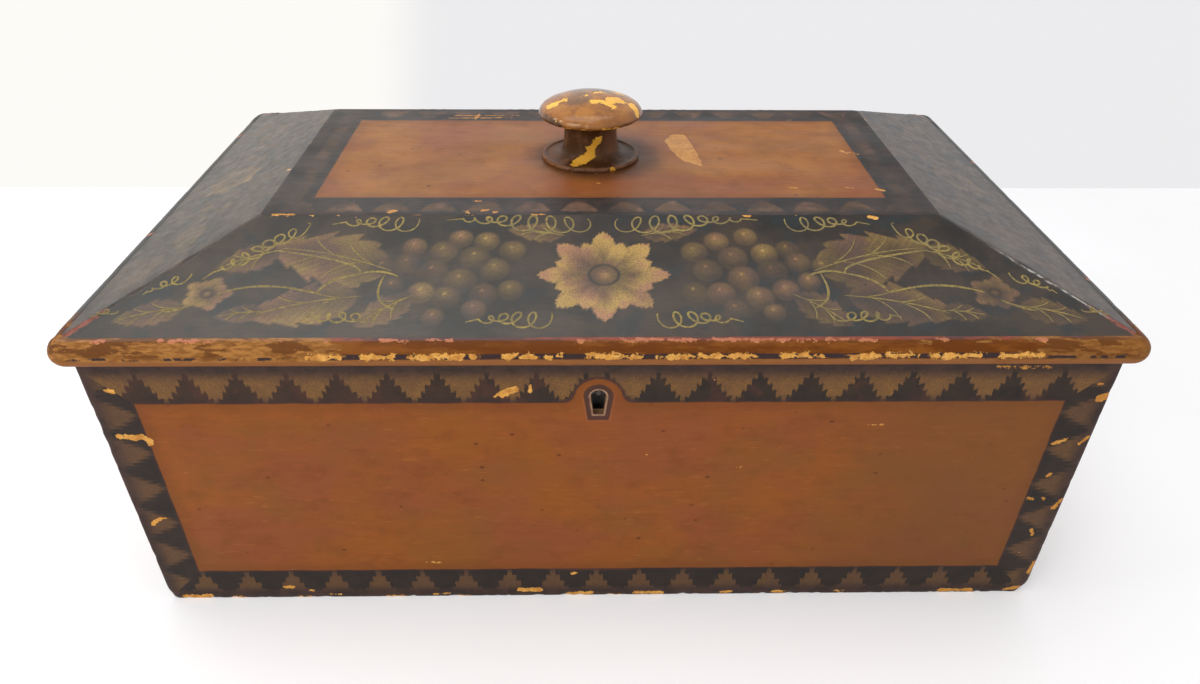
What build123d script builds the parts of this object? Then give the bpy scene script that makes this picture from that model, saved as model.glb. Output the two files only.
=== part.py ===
from build123d import *

import math
import os

os.makedirs("parts", exist_ok=True)

# A painted wooden stationery box with a hipped lid on two butt hinges and a small box lock.
# Millimetres. +Z is up, the front faces -Y, and the origin is the middle of the underside.

# --- Case: four boards mitred at the corners, each leaning inward toward the bottom
CASE_W = 318.0
CASE_D = 203.0
CASE_H = 104.0
CANT_DEG = 3.0
WALL = 10.0
CORNER_R = 1.2
BOTTOM_T = 8.0
REBATE = 5.0

# --- Lid: a mitred bullnose frame, four sloping boards and a flat panel
OVERHANG = 5.5
EDGE_T = 9.0
EDGE_FLAT = 0.1
LID_CORNER_R = 6.0
SLOPE_START = 4.5
SLOPE_END = 52.0
SLOPE_RISE = 18.0
SLOPE_T = 7.5
HIP_R = 2.5

# --- Knob: turned in one piece with a tenon through the panel
KNOB_X, KNOB_Y = -3.5, -0.5
FLANGE_R, FLANGE_T = 19.0, 1.8
STEM_R = 9.6
CAP_R, CAP_RIM_Z = 18.6, 17.6
CAP_SHOULDER_R, CAP_SHOULDER_Z = 16.8, 20.0
KNOB_H = 24.5
TENON_R = 6.0

# --- Keyhole escutcheon: round head, straight sides that narrow to a flat foot
LOCK_X = -1.8
KEYHOLE_Z = 90.4
RIM_HEAD_R, RIM_FOOT, RIM_DROP = 3.4, 2.05, 7.9
HOLE_HEAD_R, HOLE_FOOT, HOLE_DROP = 2.5, 1.6, 7.0
RIM_DEPTH, RIM_PROUD = 2.0, 0.12

# --- Lock, upright inside the front board
PLATE_W, PLATE_LOW = 48.0, 74.0
PLATE_T = 1.1
PLATE_Y = -93.0
LOCK_CASE_W, LOCK_CASE_LOW = 38.0, 77.0
LOCK_CASE_Y = -98.0
LOCK_CASE_WALL = 0.8
FLUSH = 0.1
DRILL_PIN_R, DRILL_PIN_END = 1.05, -98.9
STAPLE_X = 8.0
STAPLE_T, STAPLE_W, STAPLE_LOW = 2.0, 3.4, 96.4
EYE_W, EYE_LOW, EYE_HIGH = 1.6, 98.0, 101.2
SLOT_GAP = 0.4
LINK_W, LINK_Y0, LINK_Y1 = 40.0, -98.5, -91.5
BOLT_T, BOLT_BAR_LOW, BOLT_BAR_HIGH = 1.2, 92.9, 95.9
BOLT_FINGER_LOW, BOLT_FINGER_HIGH = 98.5, 100.7
BOLT_FINGER, BOLT_RISER, BOLT_SHY = 4.2, 3.0, 0.6
BOLT_BAR_END = 13.0
BOLT_TRAVEL = 4.5
STUMP_X, STUMP_R = -4.5, 0.6
SPRING_T, SPRING_LEAF, SPRING_TIP = 1.4, 0.5, 10.8

# --- Butt hinges
HINGE_X = 95.0
HINGE_W, LEAF_T, LEAF_Y0 = 32.0, 1.1, 93.0
KNUCKLES, KNUCKLE_R, KNUCKLE_GAP = 5, 2.6, 0.1
PIN_R, PIN_PLAY = 1.1, 0.05
KNUCKLE_CLEARANCE = 0.3
HINGE_SCREW_Y, HINGE_SCREW_PITCH = 95.7, 10.0

# --- Screws and brads: head radius, shank radius, length
HINGE_SCREW = (2.0, 1.1, 8.0)
LOCK_SCREW = (1.6, 0.9, 5.5)
LINK_SCREW = (1.7, 0.9, 6.5)
POINT = 1.6
BRAD_R, BRAD_HEAD_R, BRAD_L, BRAD_SUNK = 0.8, 1.3, 20.0, 0.3
BRAD_INSET, BRADS_LONG, BRADS_SHORT = 1.9, 5, 3

# --- Worked out from the above
cant = math.tan(math.radians(CANT_DEG))
foot_w = CASE_W - 2 * CASE_H * cant
foot_d = CASE_D - 2 * CASE_H * cant
lid_w = CASE_W + 2 * OVERHANG
lid_d = CASE_D + 2 * OVERHANG
mitre_x = (CASE_W - CASE_D) / 2
frame_top = CASE_H + EDGE_T
panel_top = frame_top + SLOPE_RISE
slope_run = SLOPE_END - SLOPE_START
slope_drop = SLOPE_T * math.hypot(slope_run, SLOPE_RISE) / slope_run
hollow_inset = SLOPE_START + slope_drop * slope_run / SLOPE_RISE
panel_under = panel_top - slope_drop
axis_y, axis_z = CASE_D / 2, CASE_H
staple_y = (LOCK_CASE_Y + LOCK_CASE_WALL + PLATE_Y) / 2
selvedge_top = CASE_H - FLUSH
link_low = CASE_H + FLUSH
plate_back = PLATE_Y + PLATE_T
SIDES = ("front", "back", "left", "right")


def rectangle_at(width, depth, z):
    return Pos(0, 0, z) * Rectangle(width, depth)


def frustum(low, low_z, high, high_z):
    """The straight-sided solid between two centred rectangles, each a (width, depth)."""
    return loft([rectangle_at(*low, low_z), rectangle_at(*high, high_z)], ruled=True)


def block(x0, x1, y0, y1, z0, z1):
    """A box between two corners."""
    middle = Pos((x0 + x1) / 2, (y0 + y1) / 2, (z0 + z1) / 2)
    return middle * Box(x1 - x0, y1 - y0, z1 - z0)


def standing_edges(solid):
    return solid.edges().filter_by(lambda e: e.bounding_box().size.Z > 1)


def edges_at(solid, z):
    level = solid.edges().filter_by(lambda e: e.bounding_box().size.Z < 1e-3)
    return level.filter_by(lambda e: abs(e.center().Z - z) < 1e-3)


def side_region(side):
    """All the space on one side of the 45 degree mitres, which case and lid share."""
    reach = CASE_W
    if side in ("front", "back"):
        plan = [(-mitre_x, 0), (mitre_x, 0), (mitre_x + reach, -reach), (-mitre_x - reach, -reach)]
        turn = 0 if side == "front" else 180
    else:
        plan = [(-mitre_x, 0), (-mitre_x - reach, -reach), (-mitre_x - reach, reach)]
        turn = 0 if side == "left" else 180
    prism = extrude(make_face(Polyline(*plan, close=True)), 2 * CASE_H)
    return Rot(0, 0, turn) * prism


def mitred(ring):
    """The four boards that a mitred ring is made of, by side."""
    return {side: ring & side_region(side) for side in SIDES}


def write(node, shape):
    export_step(shape, os.path.join("parts", node + ".step"))


# ------------------------------------------------------------------ screws and brads


def screw_blank(head_r, shank_r, length):
    """A countersunk screw without its slot, head up at z 0. It also cuts its own seat."""
    profile = Polyline(
        (0, 0), (head_r, 0), (shank_r, shank_r - head_r), (shank_r, POINT - length), (0, -length),
        close=True,
    )
    return revolve(Plane.XZ * make_face(profile), Axis.Z)


def screw(head_r, shank_r, length):
    slot = Box(2.2 * head_r, 0.25 * head_r, 0.5 * head_r)
    return screw_blank(head_r, shank_r, length) - slot


def brad():
    head = Cylinder(BRAD_HEAD_R, 1.0, align=(Align.CENTER, Align.CENTER, Align.MIN))
    shank = Cylinder(BRAD_R, BRAD_L, align=(Align.CENTER, Align.CENTER, Align.MIN))
    return Pos(0, 0, BRAD_SUNK) * (head + shank)


def brad_places():
    """Round the rim of the bottom board, close outside the inner faces of the walls."""
    x = foot_w / 2 - REBATE - BRAD_INSET
    y = foot_d / 2 - REBATE - BRAD_INSET
    places = []
    for i in range(BRADS_LONG):
        along = x * 0.86 * (2 * i / (BRADS_LONG - 1) - 1)
        places += [Pos(along, -y, 0), Pos(along, y, 0)]
    for i in range(BRADS_SHORT):
        along = y * 0.7 * (2 * i / (BRADS_SHORT - 1) - 1)
        places += [Pos(-x, along, 0), Pos(x, along, 0)]
    return places


def upward(x, y, z):
    """Places a screw in the lid: its head faces down at height z."""
    return Pos(x, y, z) * Rot(180, 0, 0)


def from_inside(x, y, z):
    """Places a screw in the front board: its head faces the inside of the case."""
    return Pos(x, y, z) * Rot(-90, 0, 0)


def hinge_screw_places(x, z, place):
    return [place(x + i * HINGE_SCREW_PITCH, HINGE_SCREW_Y, z) for i in (-1, 0, 1)]


def lock_screw_places():
    out = (PLATE_W + LOCK_CASE_W) / 4
    return [from_inside(LOCK_X + sx * out, plate_back, z) for sx in (-1, 1) for z in (79.0, 98.0)]


def link_screw_places():
    y = (LINK_Y0 + LINK_Y1) / 2
    return [upward(LOCK_X + sx * 15.0, y, link_low) for sx in (-1, 1)]


# ------------------------------------------------------------------ keyhole


def keyhole_outline(head_r, foot, drop):
    """A round head at the origin with sides that run straight to a narrower flat foot below."""
    reach = math.hypot(foot, drop)
    angle = math.atan2(-drop, foot) + math.acos(head_r / reach)
    side = (head_r * math.cos(angle), head_r * math.sin(angle))
    other = (-side[0], side[1])
    lines = [
        Line((-foot, -drop), (foot, -drop)),
        Line((foot, -drop), side),
        ThreePointArc(side, (0, head_r), other),
        Line(other, (-foot, -drop)),
    ]
    return make_face(Wire(lines))


def face_plane():
    """On the front face at the keyhole: its z points out of the board, its y up the board."""
    lean = math.radians(CANT_DEG)
    face_y = -CASE_D / 2 + (CASE_H - KEYHOLE_Z) * cant
    return Plane(
        origin=(LOCK_X, face_y, KEYHOLE_Z),
        x_dir=(1, 0, 0),
        z_dir=(0, -math.cos(lean), -math.sin(lean)),
    )


def into_board(outline, start, depth):
    """A prism of the outline, from start above the front face to depth below it."""
    return face_plane() * Pos(0, 0, start) * extrude(outline, -(start + depth))


def keyhole_escutcheon():
    rim = keyhole_outline(RIM_HEAD_R, RIM_FOOT, RIM_DROP)
    hole = keyhole_outline(HOLE_HEAD_R, HOLE_FOOT, HOLE_DROP)
    ring = into_board(rim, RIM_PROUD, RIM_DEPTH)
    return ring - into_board(hole, 1.0, RIM_DEPTH + 1.0)


def keyhole_cut():
    rim = keyhole_outline(RIM_HEAD_R, RIM_FOOT, RIM_DROP)
    hole = keyhole_outline(HOLE_HEAD_R, HOLE_FOOT, HOLE_DROP)
    return into_board(rim, 1.0, RIM_DEPTH) + into_board(hole, 1.0, 5.0)


# ------------------------------------------------------------------ lock


def staple_slots(z0, z1):
    """Openings for the two staples, with a little room all round."""
    half_x = STAPLE_T / 2 + SLOT_GAP
    half_y = STAPLE_W / 2 + SLOT_GAP
    cuts = []
    for x in (LOCK_X - STAPLE_X, LOCK_X + STAPLE_X):
        cuts.append(block(x - half_x, x + half_x, staple_y - half_y, staple_y + half_y, z0, z1))
    return cuts


def lock_plate():
    """The upright plate with the selvedge bent forward along its top, and the bolt's stump."""
    half = PLATE_W / 2
    plate = block(LOCK_X - half, LOCK_X + half, PLATE_Y, plate_back, PLATE_LOW, selvedge_top)
    selvedge_low = selvedge_top - PLATE_T
    plate += block(LOCK_X - half, LOCK_X + half, LOCK_CASE_Y, plate_back, selvedge_low, selvedge_top)
    for slot in staple_slots(selvedge_low - 1, CASE_H):
        plate -= slot
    for place in lock_screw_places():
        plate -= place * screw_blank(*LOCK_SCREW)
    plate -= drill_pin_blank()
    stump_z = (BOLT_BAR_LOW + BOLT_BAR_HIGH) / 2
    stump = Rot(90, 0, 0) * Cylinder(STUMP_R, 3.0, align=(Align.CENTER, Align.CENTER, Align.MIN))
    return plate + Pos(LOCK_X + STUMP_X, PLATE_Y, stump_z) * stump


def drill_pin_blank():
    length = plate_back - DRILL_PIN_END
    pin = Cylinder(DRILL_PIN_R, length, align=(Align.CENTER, Align.CENTER, Align.MIN))
    return Pos(LOCK_X, plate_back, KEYHOLE_Z) * Rot(90, 0, 0) * pin


def lock_drill_pin():
    pin = drill_pin_blank()
    front_edge = pin.edges().sort_by(Axis.Y)[0]
    return fillet(front_edge, 0.35)


def lock_case():
    """A shallow box on the front of the plate. The key goes in through its face."""
    half = LOCK_CASE_W / 2
    wall = LOCK_CASE_WALL
    top = selvedge_top - PLATE_T
    shell = block(LOCK_X - half, LOCK_X + half, LOCK_CASE_Y, PLATE_Y, LOCK_CASE_LOW, top)
    shell -= block(
        LOCK_X - half + wall, LOCK_X + half - wall, LOCK_CASE_Y + wall, PLATE_Y + 1,
        LOCK_CASE_LOW + wall, top - wall,
    )
    for slot in staple_slots(top - 2, top + 1):
        shell -= slot
    hole = keyhole_outline(HOLE_HEAD_R + 0.1, HOLE_FOOT + 0.1, HOLE_DROP + 0.1)
    front = Plane(origin=(LOCK_X, LOCK_CASE_Y - 1, KEYHOLE_Z), x_dir=(1, 0, 0), z_dir=(0, -1, 0))
    return shell - front * extrude(hole, -(wall + 1.5))


def upright_prism(points, thickness):
    """A plate in the plane of the staples: points are (x from the keyhole, z)."""
    face = make_face(Polyline(*points, close=True))
    middle = Plane(origin=(LOCK_X, staple_y, 0), x_dir=(1, 0, 0), z_dir=(0, -1, 0))
    return middle * Pos(0, 0, -thickness / 2) * extrude(face, thickness)


def finger_points(staple):
    """One riser of the bolt with its finger, which starts just short of the staple."""
    tip = staple - STAPLE_T / 2 - BOLT_SHY
    root = tip - BOLT_FINGER
    back = root - BOLT_RISER
    low = BOLT_BAR_LOW + 0.5
    return [
        (back, low), (root, low), (root, BOLT_FINGER_LOW), (tip, BOLT_FINGER_LOW),
        (tip, BOLT_FINGER_HIGH), (back, BOLT_FINGER_HIGH),
    ]


def lock_bolt():
    """A bar under the staples with two fingers that slide into the staples' eyes."""
    first = finger_points(-STAPLE_X)[0][0]
    bar = [
        (first, BOLT_BAR_LOW), (BOLT_BAR_END, BOLT_BAR_LOW),
        (BOLT_BAR_END, BOLT_BAR_HIGH), (first, BOLT_BAR_HIGH),
    ]
    bolt = upright_prism(bar, BOLT_T)
    for staple in (-STAPLE_X, STAPLE_X):
        bolt += upright_prism(finger_points(staple), BOLT_T)
    half = STUMP_R + 0.1
    middle = (BOLT_BAR_LOW + BOLT_BAR_HIGH) / 2
    left = STUMP_X - BOLT_TRAVEL - half
    right = STUMP_X + half
    slot = [(left, middle - half), (right, middle - half), (right, middle + half), (left, middle + half)]
    bolt -= upright_prism(slot, 2 * BOLT_T)
    talon = Cylinder(1.5, 2 * BOLT_T, rotation=(90, 0, 0))
    return bolt - Pos(LOCK_X + 3.0, staple_y, BOLT_BAR_LOW) * talon


def lock_spring():
    """A leaf spring whose foot fills the end of the case and whose tip bears on the bolt."""
    wall = LOCK_CASE_W / 2 - LOCK_CASE_WALL
    foot = wall - 1.8
    tip_low = BOLT_BAR_HIGH + 0.1
    points = [
        (SPRING_TIP, tip_low), (foot, 98.3), (foot, 97.3), (wall, 97.3), (wall, 99.6),
        (foot, 99.6), (foot, 98.3 + SPRING_LEAF), (SPRING_TIP, tip_low + SPRING_LEAF),
    ]
    return upright_prism(points, SPRING_T)


def link_plate():
    """The plate under the lid's front edge, with two staples that drop into the lock."""
    half = LINK_W / 2
    high = link_low + PLATE_T
    plate = block(LOCK_X - half, LOCK_X + half, LINK_Y0, LINK_Y1, link_low, high)
    for place in link_screw_places():
        plate -= place * screw_blank(*LINK_SCREW)
    for x in (LOCK_X - STAPLE_X, LOCK_X + STAPLE_X):
        staple = block(
            x - STAPLE_T / 2, x + STAPLE_T / 2,
            staple_y - STAPLE_W / 2, staple_y + STAPLE_W / 2, STAPLE_LOW, high,
        )
        staple = fillet(staple.edges().filter_by(Axis.X).group_by(Axis.Z)[0], 0.7)
        plate += staple - block(
            x - STAPLE_T, x + STAPLE_T, staple_y - EYE_W / 2, staple_y + EYE_W / 2, EYE_LOW, EYE_HIGH
        )
    return plate


def lock_pocket():
    """What is cut out of the front board for the lock."""
    half = PLATE_W / 2
    inner = -CASE_D / 2 + WALL + CASE_H * cant + 1
    recess = block(LOCK_X - half, LOCK_X + half, PLATE_Y, inner, PLATE_LOW, CASE_H + 1)
    shelf_low = selvedge_top - PLATE_T
    recess += block(LOCK_X - half, LOCK_X + half, LOCK_CASE_Y, inner, shelf_low, CASE_H + 1)
    half = LOCK_CASE_W / 2
    return recess + block(LOCK_X - half, LOCK_X + half, LOCK_CASE_Y, inner, LOCK_CASE_LOW, CASE_H)


def link_recess():
    half = LINK_W / 2
    high = link_low + PLATE_T
    return block(LOCK_X - half, LOCK_X + half, LINK_Y0, LINK_Y1, CASE_H - 1, high)


# ------------------------------------------------------------------ hinges


def along_axis(x, radius, length):
    """A cylinder on the hinge line, centred at x."""
    return Pos(x, axis_y, axis_z) * Rot(0, 90, 0) * Cylinder(radius, length)


def knuckle_centres(x, indices):
    pitch = HINGE_W / KNUCKLES
    return [x - HINGE_W / 2 + pitch * (i + 0.5) for i in indices]


def hinge_leaf(x, z0, own, other, screw_places):
    """A leaf from z0 up, with its own knuckles and room for the other leaf's."""
    pitch = HINGE_W / KNUCKLES
    leaf = block(x - HINGE_W / 2, x + HINGE_W / 2, LEAF_Y0, axis_y, z0, z0 + LEAF_T)
    for centre in knuckle_centres(x, other):
        leaf -= along_axis(centre, KNUCKLE_R + KNUCKLE_CLEARANCE / 2, pitch + KNUCKLE_GAP)
    for centre in knuckle_centres(x, own):
        leaf += along_axis(centre, KNUCKLE_R, pitch - KNUCKLE_GAP)
    leaf -= along_axis(x, PIN_R + PIN_PLAY, 2 * HINGE_W)
    for place in screw_places:
        leaf -= place * screw_blank(*HINGE_SCREW)
    return leaf


def hinge_pin(x):
    pin = along_axis(x, PIN_R, HINGE_W)
    ends = pin.edges().filter_by(GeomType.CIRCLE)
    return fillet(ends, 0.3)


def leaf_recess(x, z0, z1):
    seat = block(x - HINGE_W / 2, x + HINGE_W / 2, LEAF_Y0, axis_y + 1, z0, z1)
    return seat + along_axis(x, KNUCKLE_R + KNUCKLE_CLEARANCE, HINGE_W + 2 * KNUCKLE_GAP)


# ------------------------------------------------------------------ case

outside = frustum((foot_w, foot_d), 0, (CASE_W, CASE_D), CASE_H)
outside = fillet(standing_edges(outside), CORNER_R)
outside = fillet(edges_at(outside, 0), CORNER_R / 2)
inside = frustum(
    (foot_w - 2 * WALL, foot_d - 2 * WALL), 0, (CASE_W - 2 * WALL, CASE_D - 2 * WALL), CASE_H
)
bottom_w, bottom_d = foot_w - 2 * REBATE, foot_d - 2 * REBATE
bottom_board = block(-bottom_w / 2, bottom_w / 2, -bottom_d / 2, bottom_d / 2, 0, BOTTOM_T)
walls = mitred(outside - inside - bottom_board)
front_board, back_board = walls["front"], walls["back"]
end_boards = {side: walls[side] for side in ("left", "right")}

brads = [place * brad() for place in brad_places()]
brad_seats = [
    place * (brad() + Cylinder(BRAD_HEAD_R, 2 * BRAD_SUNK)) for place in brad_places()
]
for seat in brad_seats:
    bottom_board -= seat
    front_board -= seat
    back_board -= seat
    end_boards = {side: board - seat for side, board in end_boards.items()}

front_board -= lock_pocket()
front_board -= keyhole_cut()
for place in lock_screw_places():
    front_board -= place * screw_blank(*LOCK_SCREW)

case_leaf_z = CASE_H - FLUSH - LEAF_T
for hinge_x in (-HINGE_X, HINGE_X):
    back_board -= leaf_recess(hinge_x, case_leaf_z, CASE_H + 1)
    for place in hinge_screw_places(hinge_x, CASE_H - FLUSH, Pos):
        back_board -= place * screw_blank(*HINGE_SCREW)

write("bottom_board", bottom_board)
write("front_board", front_board)
write("back_board", back_board)
write("left_end_board", end_boards["left"])
write("right_end_board", end_boards["right"])
write("bottom_brads", Compound(children=brads))
write("keyhole_escutcheon", keyhole_escutcheon())
write("lock_plate", lock_plate())
write("lock_case", lock_case())
write("lock_drill_pin", lock_drill_pin())
write("lock_spring", lock_spring())
write("lock_bolt", lock_bolt())
write("lock_screws", Compound(children=[place * screw(*LOCK_SCREW) for place in lock_screw_places()]))

# ------------------------------------------------------------------ lid

edge_slab = block(-lid_w / 2, lid_w / 2, -lid_d / 2, lid_d / 2, CASE_H, frame_top)
edge_slab = fillet(standing_edges(edge_slab), LID_CORNER_R)
nose_r = EDGE_T / 2 - EDGE_FLAT
edge_slab = fillet(edges_at(edge_slab, CASE_H) + edges_at(edge_slab, frame_top), nose_r)
edge_hole = block(
    hollow_inset - lid_w / 2, lid_w / 2 - hollow_inset,
    hollow_inset - lid_d / 2, lid_d / 2 - hollow_inset, CASE_H - 1, frame_top + 1,
)
edges = mitred(edge_slab - edge_hole)

roof_foot = (lid_w - 2 * SLOPE_START, lid_d - 2 * SLOPE_START)
roof_head = (lid_w - 2 * SLOPE_END, lid_d - 2 * SLOPE_END)
roof = frustum(roof_foot, frame_top, roof_head, panel_top)
roof = fillet(standing_edges(roof), HIP_R)
hollow_foot = (lid_w - 2 * hollow_inset, lid_d - 2 * hollow_inset)
hollow = frustum(hollow_foot, frame_top, roof_head, panel_under)
panel_space = block(
    -roof_head[0] / 2, roof_head[0] / 2, -roof_head[1] / 2, roof_head[1] / 2,
    panel_under, panel_top + 1,
)
slopes = mitred(roof - hollow - panel_space)


def knob():
    """Turned profile: tenon, thin flange, waisted stem and a mushroom cap with a domed top."""
    tenon_z = panel_under - panel_top
    flange_edge = FLANGE_R - 0.6
    cove_r, cove_z = STEM_R + 4.6, FLANGE_T + 0.7
    neck_z = 9.5
    under_r, under_z = 12.5, 14.2
    lip_r, lip_z = CAP_R - 1.5, CAP_RIM_Z - 1.9
    rise = KNOB_H - CAP_SHOULDER_Z
    dome_r = (CAP_SHOULDER_R**2 + rise**2) / (2 * rise)
    half_angle = math.asin(CAP_SHOULDER_R / dome_r) / 2
    dome_middle = (dome_r * math.sin(half_angle), KNOB_H - dome_r * (1 - math.cos(half_angle)))
    tenon = Polyline((0, KNOB_H), (0, tenon_z), (TENON_R, tenon_z), (TENON_R, 0), (flange_edge, 0))
    outline = tenon.edges() + [
        ThreePointArc((flange_edge, 0), (FLANGE_R, FLANGE_T / 2), (flange_edge, FLANGE_T)),
        Line((flange_edge, FLANGE_T), (cove_r, cove_z)),
        ThreePointArc((cove_r, cove_z), (STEM_R + 1.3, FLANGE_T + 2.9), (STEM_R, neck_z)),
        ThreePointArc((STEM_R, neck_z), (STEM_R + 0.75, 12.4), (under_r, under_z)),
        Line((under_r, under_z), (lip_r, lip_z)),
        ThreePointArc((lip_r, lip_z), (CAP_R, CAP_RIM_Z), (CAP_SHOULDER_R, CAP_SHOULDER_Z)),
        ThreePointArc((CAP_SHOULDER_R, CAP_SHOULDER_Z), dome_middle, (0, KNOB_H)),
    ]
    turned = revolve(Plane.XZ * make_face(Wire(outline)), Axis.Z)
    return Pos(KNOB_X, KNOB_Y, panel_top) * turned


tenon_hole = Cylinder(TENON_R, 4 * slope_drop)
lid_top_panel = panel_space & roof
lid_top_panel -= Pos(KNOB_X, KNOB_Y, panel_top) * tenon_hole

edges["front"] -= link_recess()
for place in link_screw_places():
    edges["front"] -= place * screw_blank(*LINK_SCREW)
lid_leaf_z = CASE_H + FLUSH
for hinge_x in (-HINGE_X, HINGE_X):
    edges["back"] -= leaf_recess(hinge_x, CASE_H - 1, lid_leaf_z + LEAF_T)
    for place in hinge_screw_places(hinge_x, lid_leaf_z, upward):
        edges["back"] -= place * screw_blank(*HINGE_SCREW)

for side in SIDES:
    write("lid_edge_" + side, edges[side])
    write("lid_slope_" + side, slopes[side])
write("lid_top_panel", lid_top_panel)
write("lid_knob", knob())
write("link_plate", link_plate())
write("link_plate_screws", Compound(children=[place * screw(*LINK_SCREW) for place in link_screw_places()]))

# ------------------------------------------------------------------ the two hinges

case_knuckles = range(0, KNUCKLES, 2)
lid_knuckles = range(1, KNUCKLES, 2)
for name, hinge_x in (("left", -HINGE_X), ("right", HINGE_X)):
    case_screws = hinge_screw_places(hinge_x, CASE_H - FLUSH, Pos)
    lid_screws = hinge_screw_places(hinge_x, lid_leaf_z, upward)
    case_leaf = hinge_leaf(hinge_x, case_leaf_z, case_knuckles, lid_knuckles, case_screws)
    lid_leaf = hinge_leaf(hinge_x, lid_leaf_z, lid_knuckles, case_knuckles, lid_screws)
    write(name + "_hinge_case_leaf", case_leaf)
    write(name + "_hinge_lid_leaf", lid_leaf)
    write(name + "_hinge_pin", hinge_pin(hinge_x))
    for half, places in (("case", case_screws), ("lid", lid_screws)):
        screws = Compound(children=[place * screw(*HINGE_SCREW) for place in places])
        write(name + "_hinge_" + half + "_screws", screws)
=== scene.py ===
import functools
import math

import bmesh
import bpy
import numpy as np
from mathutils import Matrix, Vector
from mathutils import noise as space_noise


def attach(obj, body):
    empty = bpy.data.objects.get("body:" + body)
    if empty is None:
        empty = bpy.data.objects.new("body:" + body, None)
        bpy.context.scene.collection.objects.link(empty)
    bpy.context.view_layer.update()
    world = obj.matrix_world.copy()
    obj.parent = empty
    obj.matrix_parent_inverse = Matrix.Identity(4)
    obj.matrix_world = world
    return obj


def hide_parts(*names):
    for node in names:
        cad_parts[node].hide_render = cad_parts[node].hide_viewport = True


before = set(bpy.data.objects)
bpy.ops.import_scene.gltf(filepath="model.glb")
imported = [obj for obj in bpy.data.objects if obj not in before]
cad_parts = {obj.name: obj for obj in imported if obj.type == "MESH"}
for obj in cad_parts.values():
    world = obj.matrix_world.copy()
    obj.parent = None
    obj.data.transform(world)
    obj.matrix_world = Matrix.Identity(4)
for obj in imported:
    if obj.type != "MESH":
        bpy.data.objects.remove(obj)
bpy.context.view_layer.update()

# A painted pine stationery box: a case with leaning sides, a hipped lid and a turned knob.
# Lengths are in millimetres until a mesh is made. The front faces -Y.

MM = 0.001

# --- The photograph, and where its camera stood
PHOTO_W, PHOTO_H = 1200, 684
FOCAL_PIXELS, MIDDLE_Y = 951.226, 300.109
CAMERA_AT = (-7.229, -342.084, 260.628)
PITCH, YAW, ROLL = 0.51324, 0.023116, 0.009684

# --- The case and the lid, as in the frame
CASE_W, CASE_D, CASE_H = 318.0, 203.0, 104.0
CANT = math.tan(math.radians(3.0))
WALL, BOTTOM_T, REBATE = 10.0, 8.0, 5.0
CORNER_R, ARRIS = 1.2, 0.6
LID_W, LID_D = 329.0, 214.0
EDGE_TOP = 113.0
NOSE_R, LID_CORNER_R = 4.4, 6.0
SLOPE_START, SLOPE_END = 4.5, 52.0
PANEL_Z = 131.0
HIP_R = 2.5
SLOPE_RUN, SLOPE_RISE = SLOPE_END - SLOPE_START, PANEL_Z - EDGE_TOP
SLOPE_L = math.hypot(SLOPE_RUN, SLOPE_RISE)
SLOPE_DROP = 7.5 * SLOPE_L / SLOPE_RUN
HOLLOW = SLOPE_START + SLOPE_DROP * SLOPE_RUN / SLOPE_RISE
PANEL_W, PANEL_D = LID_W - 2 * SLOPE_END, LID_D - 2 * SLOPE_END
KNOB, KNOB_H, TENON_R = (-3.5, -0.5), 24.5, 6.0
LOCK_X, KEYHOLE_Z = -1.8, 90.4
SIDES = ("front", "right", "back", "left")
LONG_SIDES = ("front", "back")

# --- What is cut out for the lock and the hinges. A keyhole is a head, a foot and a drop
KEYHOLE, KEYHOLE_DEPTH = (2.5, 1.6, 7.0), 5.0
RIM_SEAT, RIM_DEPTH = (3.4, 2.05, 7.9), 2.0
PLATE_HALF, PLATE_LOW, PLATE_Y = 24.0, 74.0, -93.0
LOCK_CASE_HALF, LOCK_CASE_LOW, LOCK_CASE_Y = 19.0, 77.0, -98.0
LINK_HALF, LINK_Y0, LINK_Y1 = 20.0, -98.5, -91.5
HINGE_X, HINGE_HALF, LEAF_Y = 95.0, 16.0, 93.0
KNUCKLE_SEAT_R, KNUCKLE_PLAY = 2.9, 0.2
SEAT, OVERCUT = 1.2, 1.0

# --- Painted borders of the case
BAND_TOP, BAND_BOTTOM, BAND_SIDE = 88.0, 14.0, 13.8
ARCH_R, ARCH_DROP, ARCH_FILLET = 7.6, 0.8, 3.8
TOOTH, SPIKE = 15.3, 1.5
TOP_ROW_MIDDLE, TOP_ROW_FIRST = -2.25, 10.9
TOP_ROW_LEFT, TOP_ROW_RIGHT = 15.15, 15.65
LOW_ROW_SHIFT, SIDE_ROW_TIP = 1.9, 83.5

# --- The lid's painted panel, and the mounds in its border
TOP_BAND, TOP_PANEL_HALF_D = 14.5, 40.3
MOUND = 15.6

# --- Painted lines round the lid's edge, by distance along its profile from below
STRIPE_RUN = (8.7, 10.4)
ARRIS_RUN = 14.8

# --- Colours, linear
ORANGE = (0.24, 0.072, 0.012)
ORANGE_RED = (0.215, 0.06, 0.02)
ORANGE_DARK = (0.15, 0.045, 0.01)
RIGHT_SHADE_BROWN = (0.13, 0.055, 0.018)
OLIVE_BROWN = (0.165, 0.07, 0.014)
TOP_ORANGE = (0.31, 0.113, 0.015)
SPECK = (0.07, 0.018, 0.008)
SOOT = (0.02, 0.017, 0.016)
WARM_SOOT = (0.032, 0.02, 0.017)
PURPLE_BROWN = (0.056, 0.032, 0.026)
BAND_GOLD = (0.2, 0.098, 0.03)
MAROON = (0.06, 0.024, 0.02)
KEY_LINE = (0.062, 0.028, 0.021)
KEYHOLE_HIGHLIGHT = (0.36, 0.125, 0.06)
RIM_BRIGHT = (0.33, 0.19, 0.11)
RIM_DULL = (0.2, 0.11, 0.065)
DUSTY_BROWN = (0.078, 0.05, 0.033)
SLOPE_BLACK = (0.02, 0.018, 0.017)
SLOPE_BROWN = (0.044, 0.031, 0.024)
SLOPE_TEAL = (0.018, 0.025, 0.028)
GOLD = (0.4, 0.25, 0.07)
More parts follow.
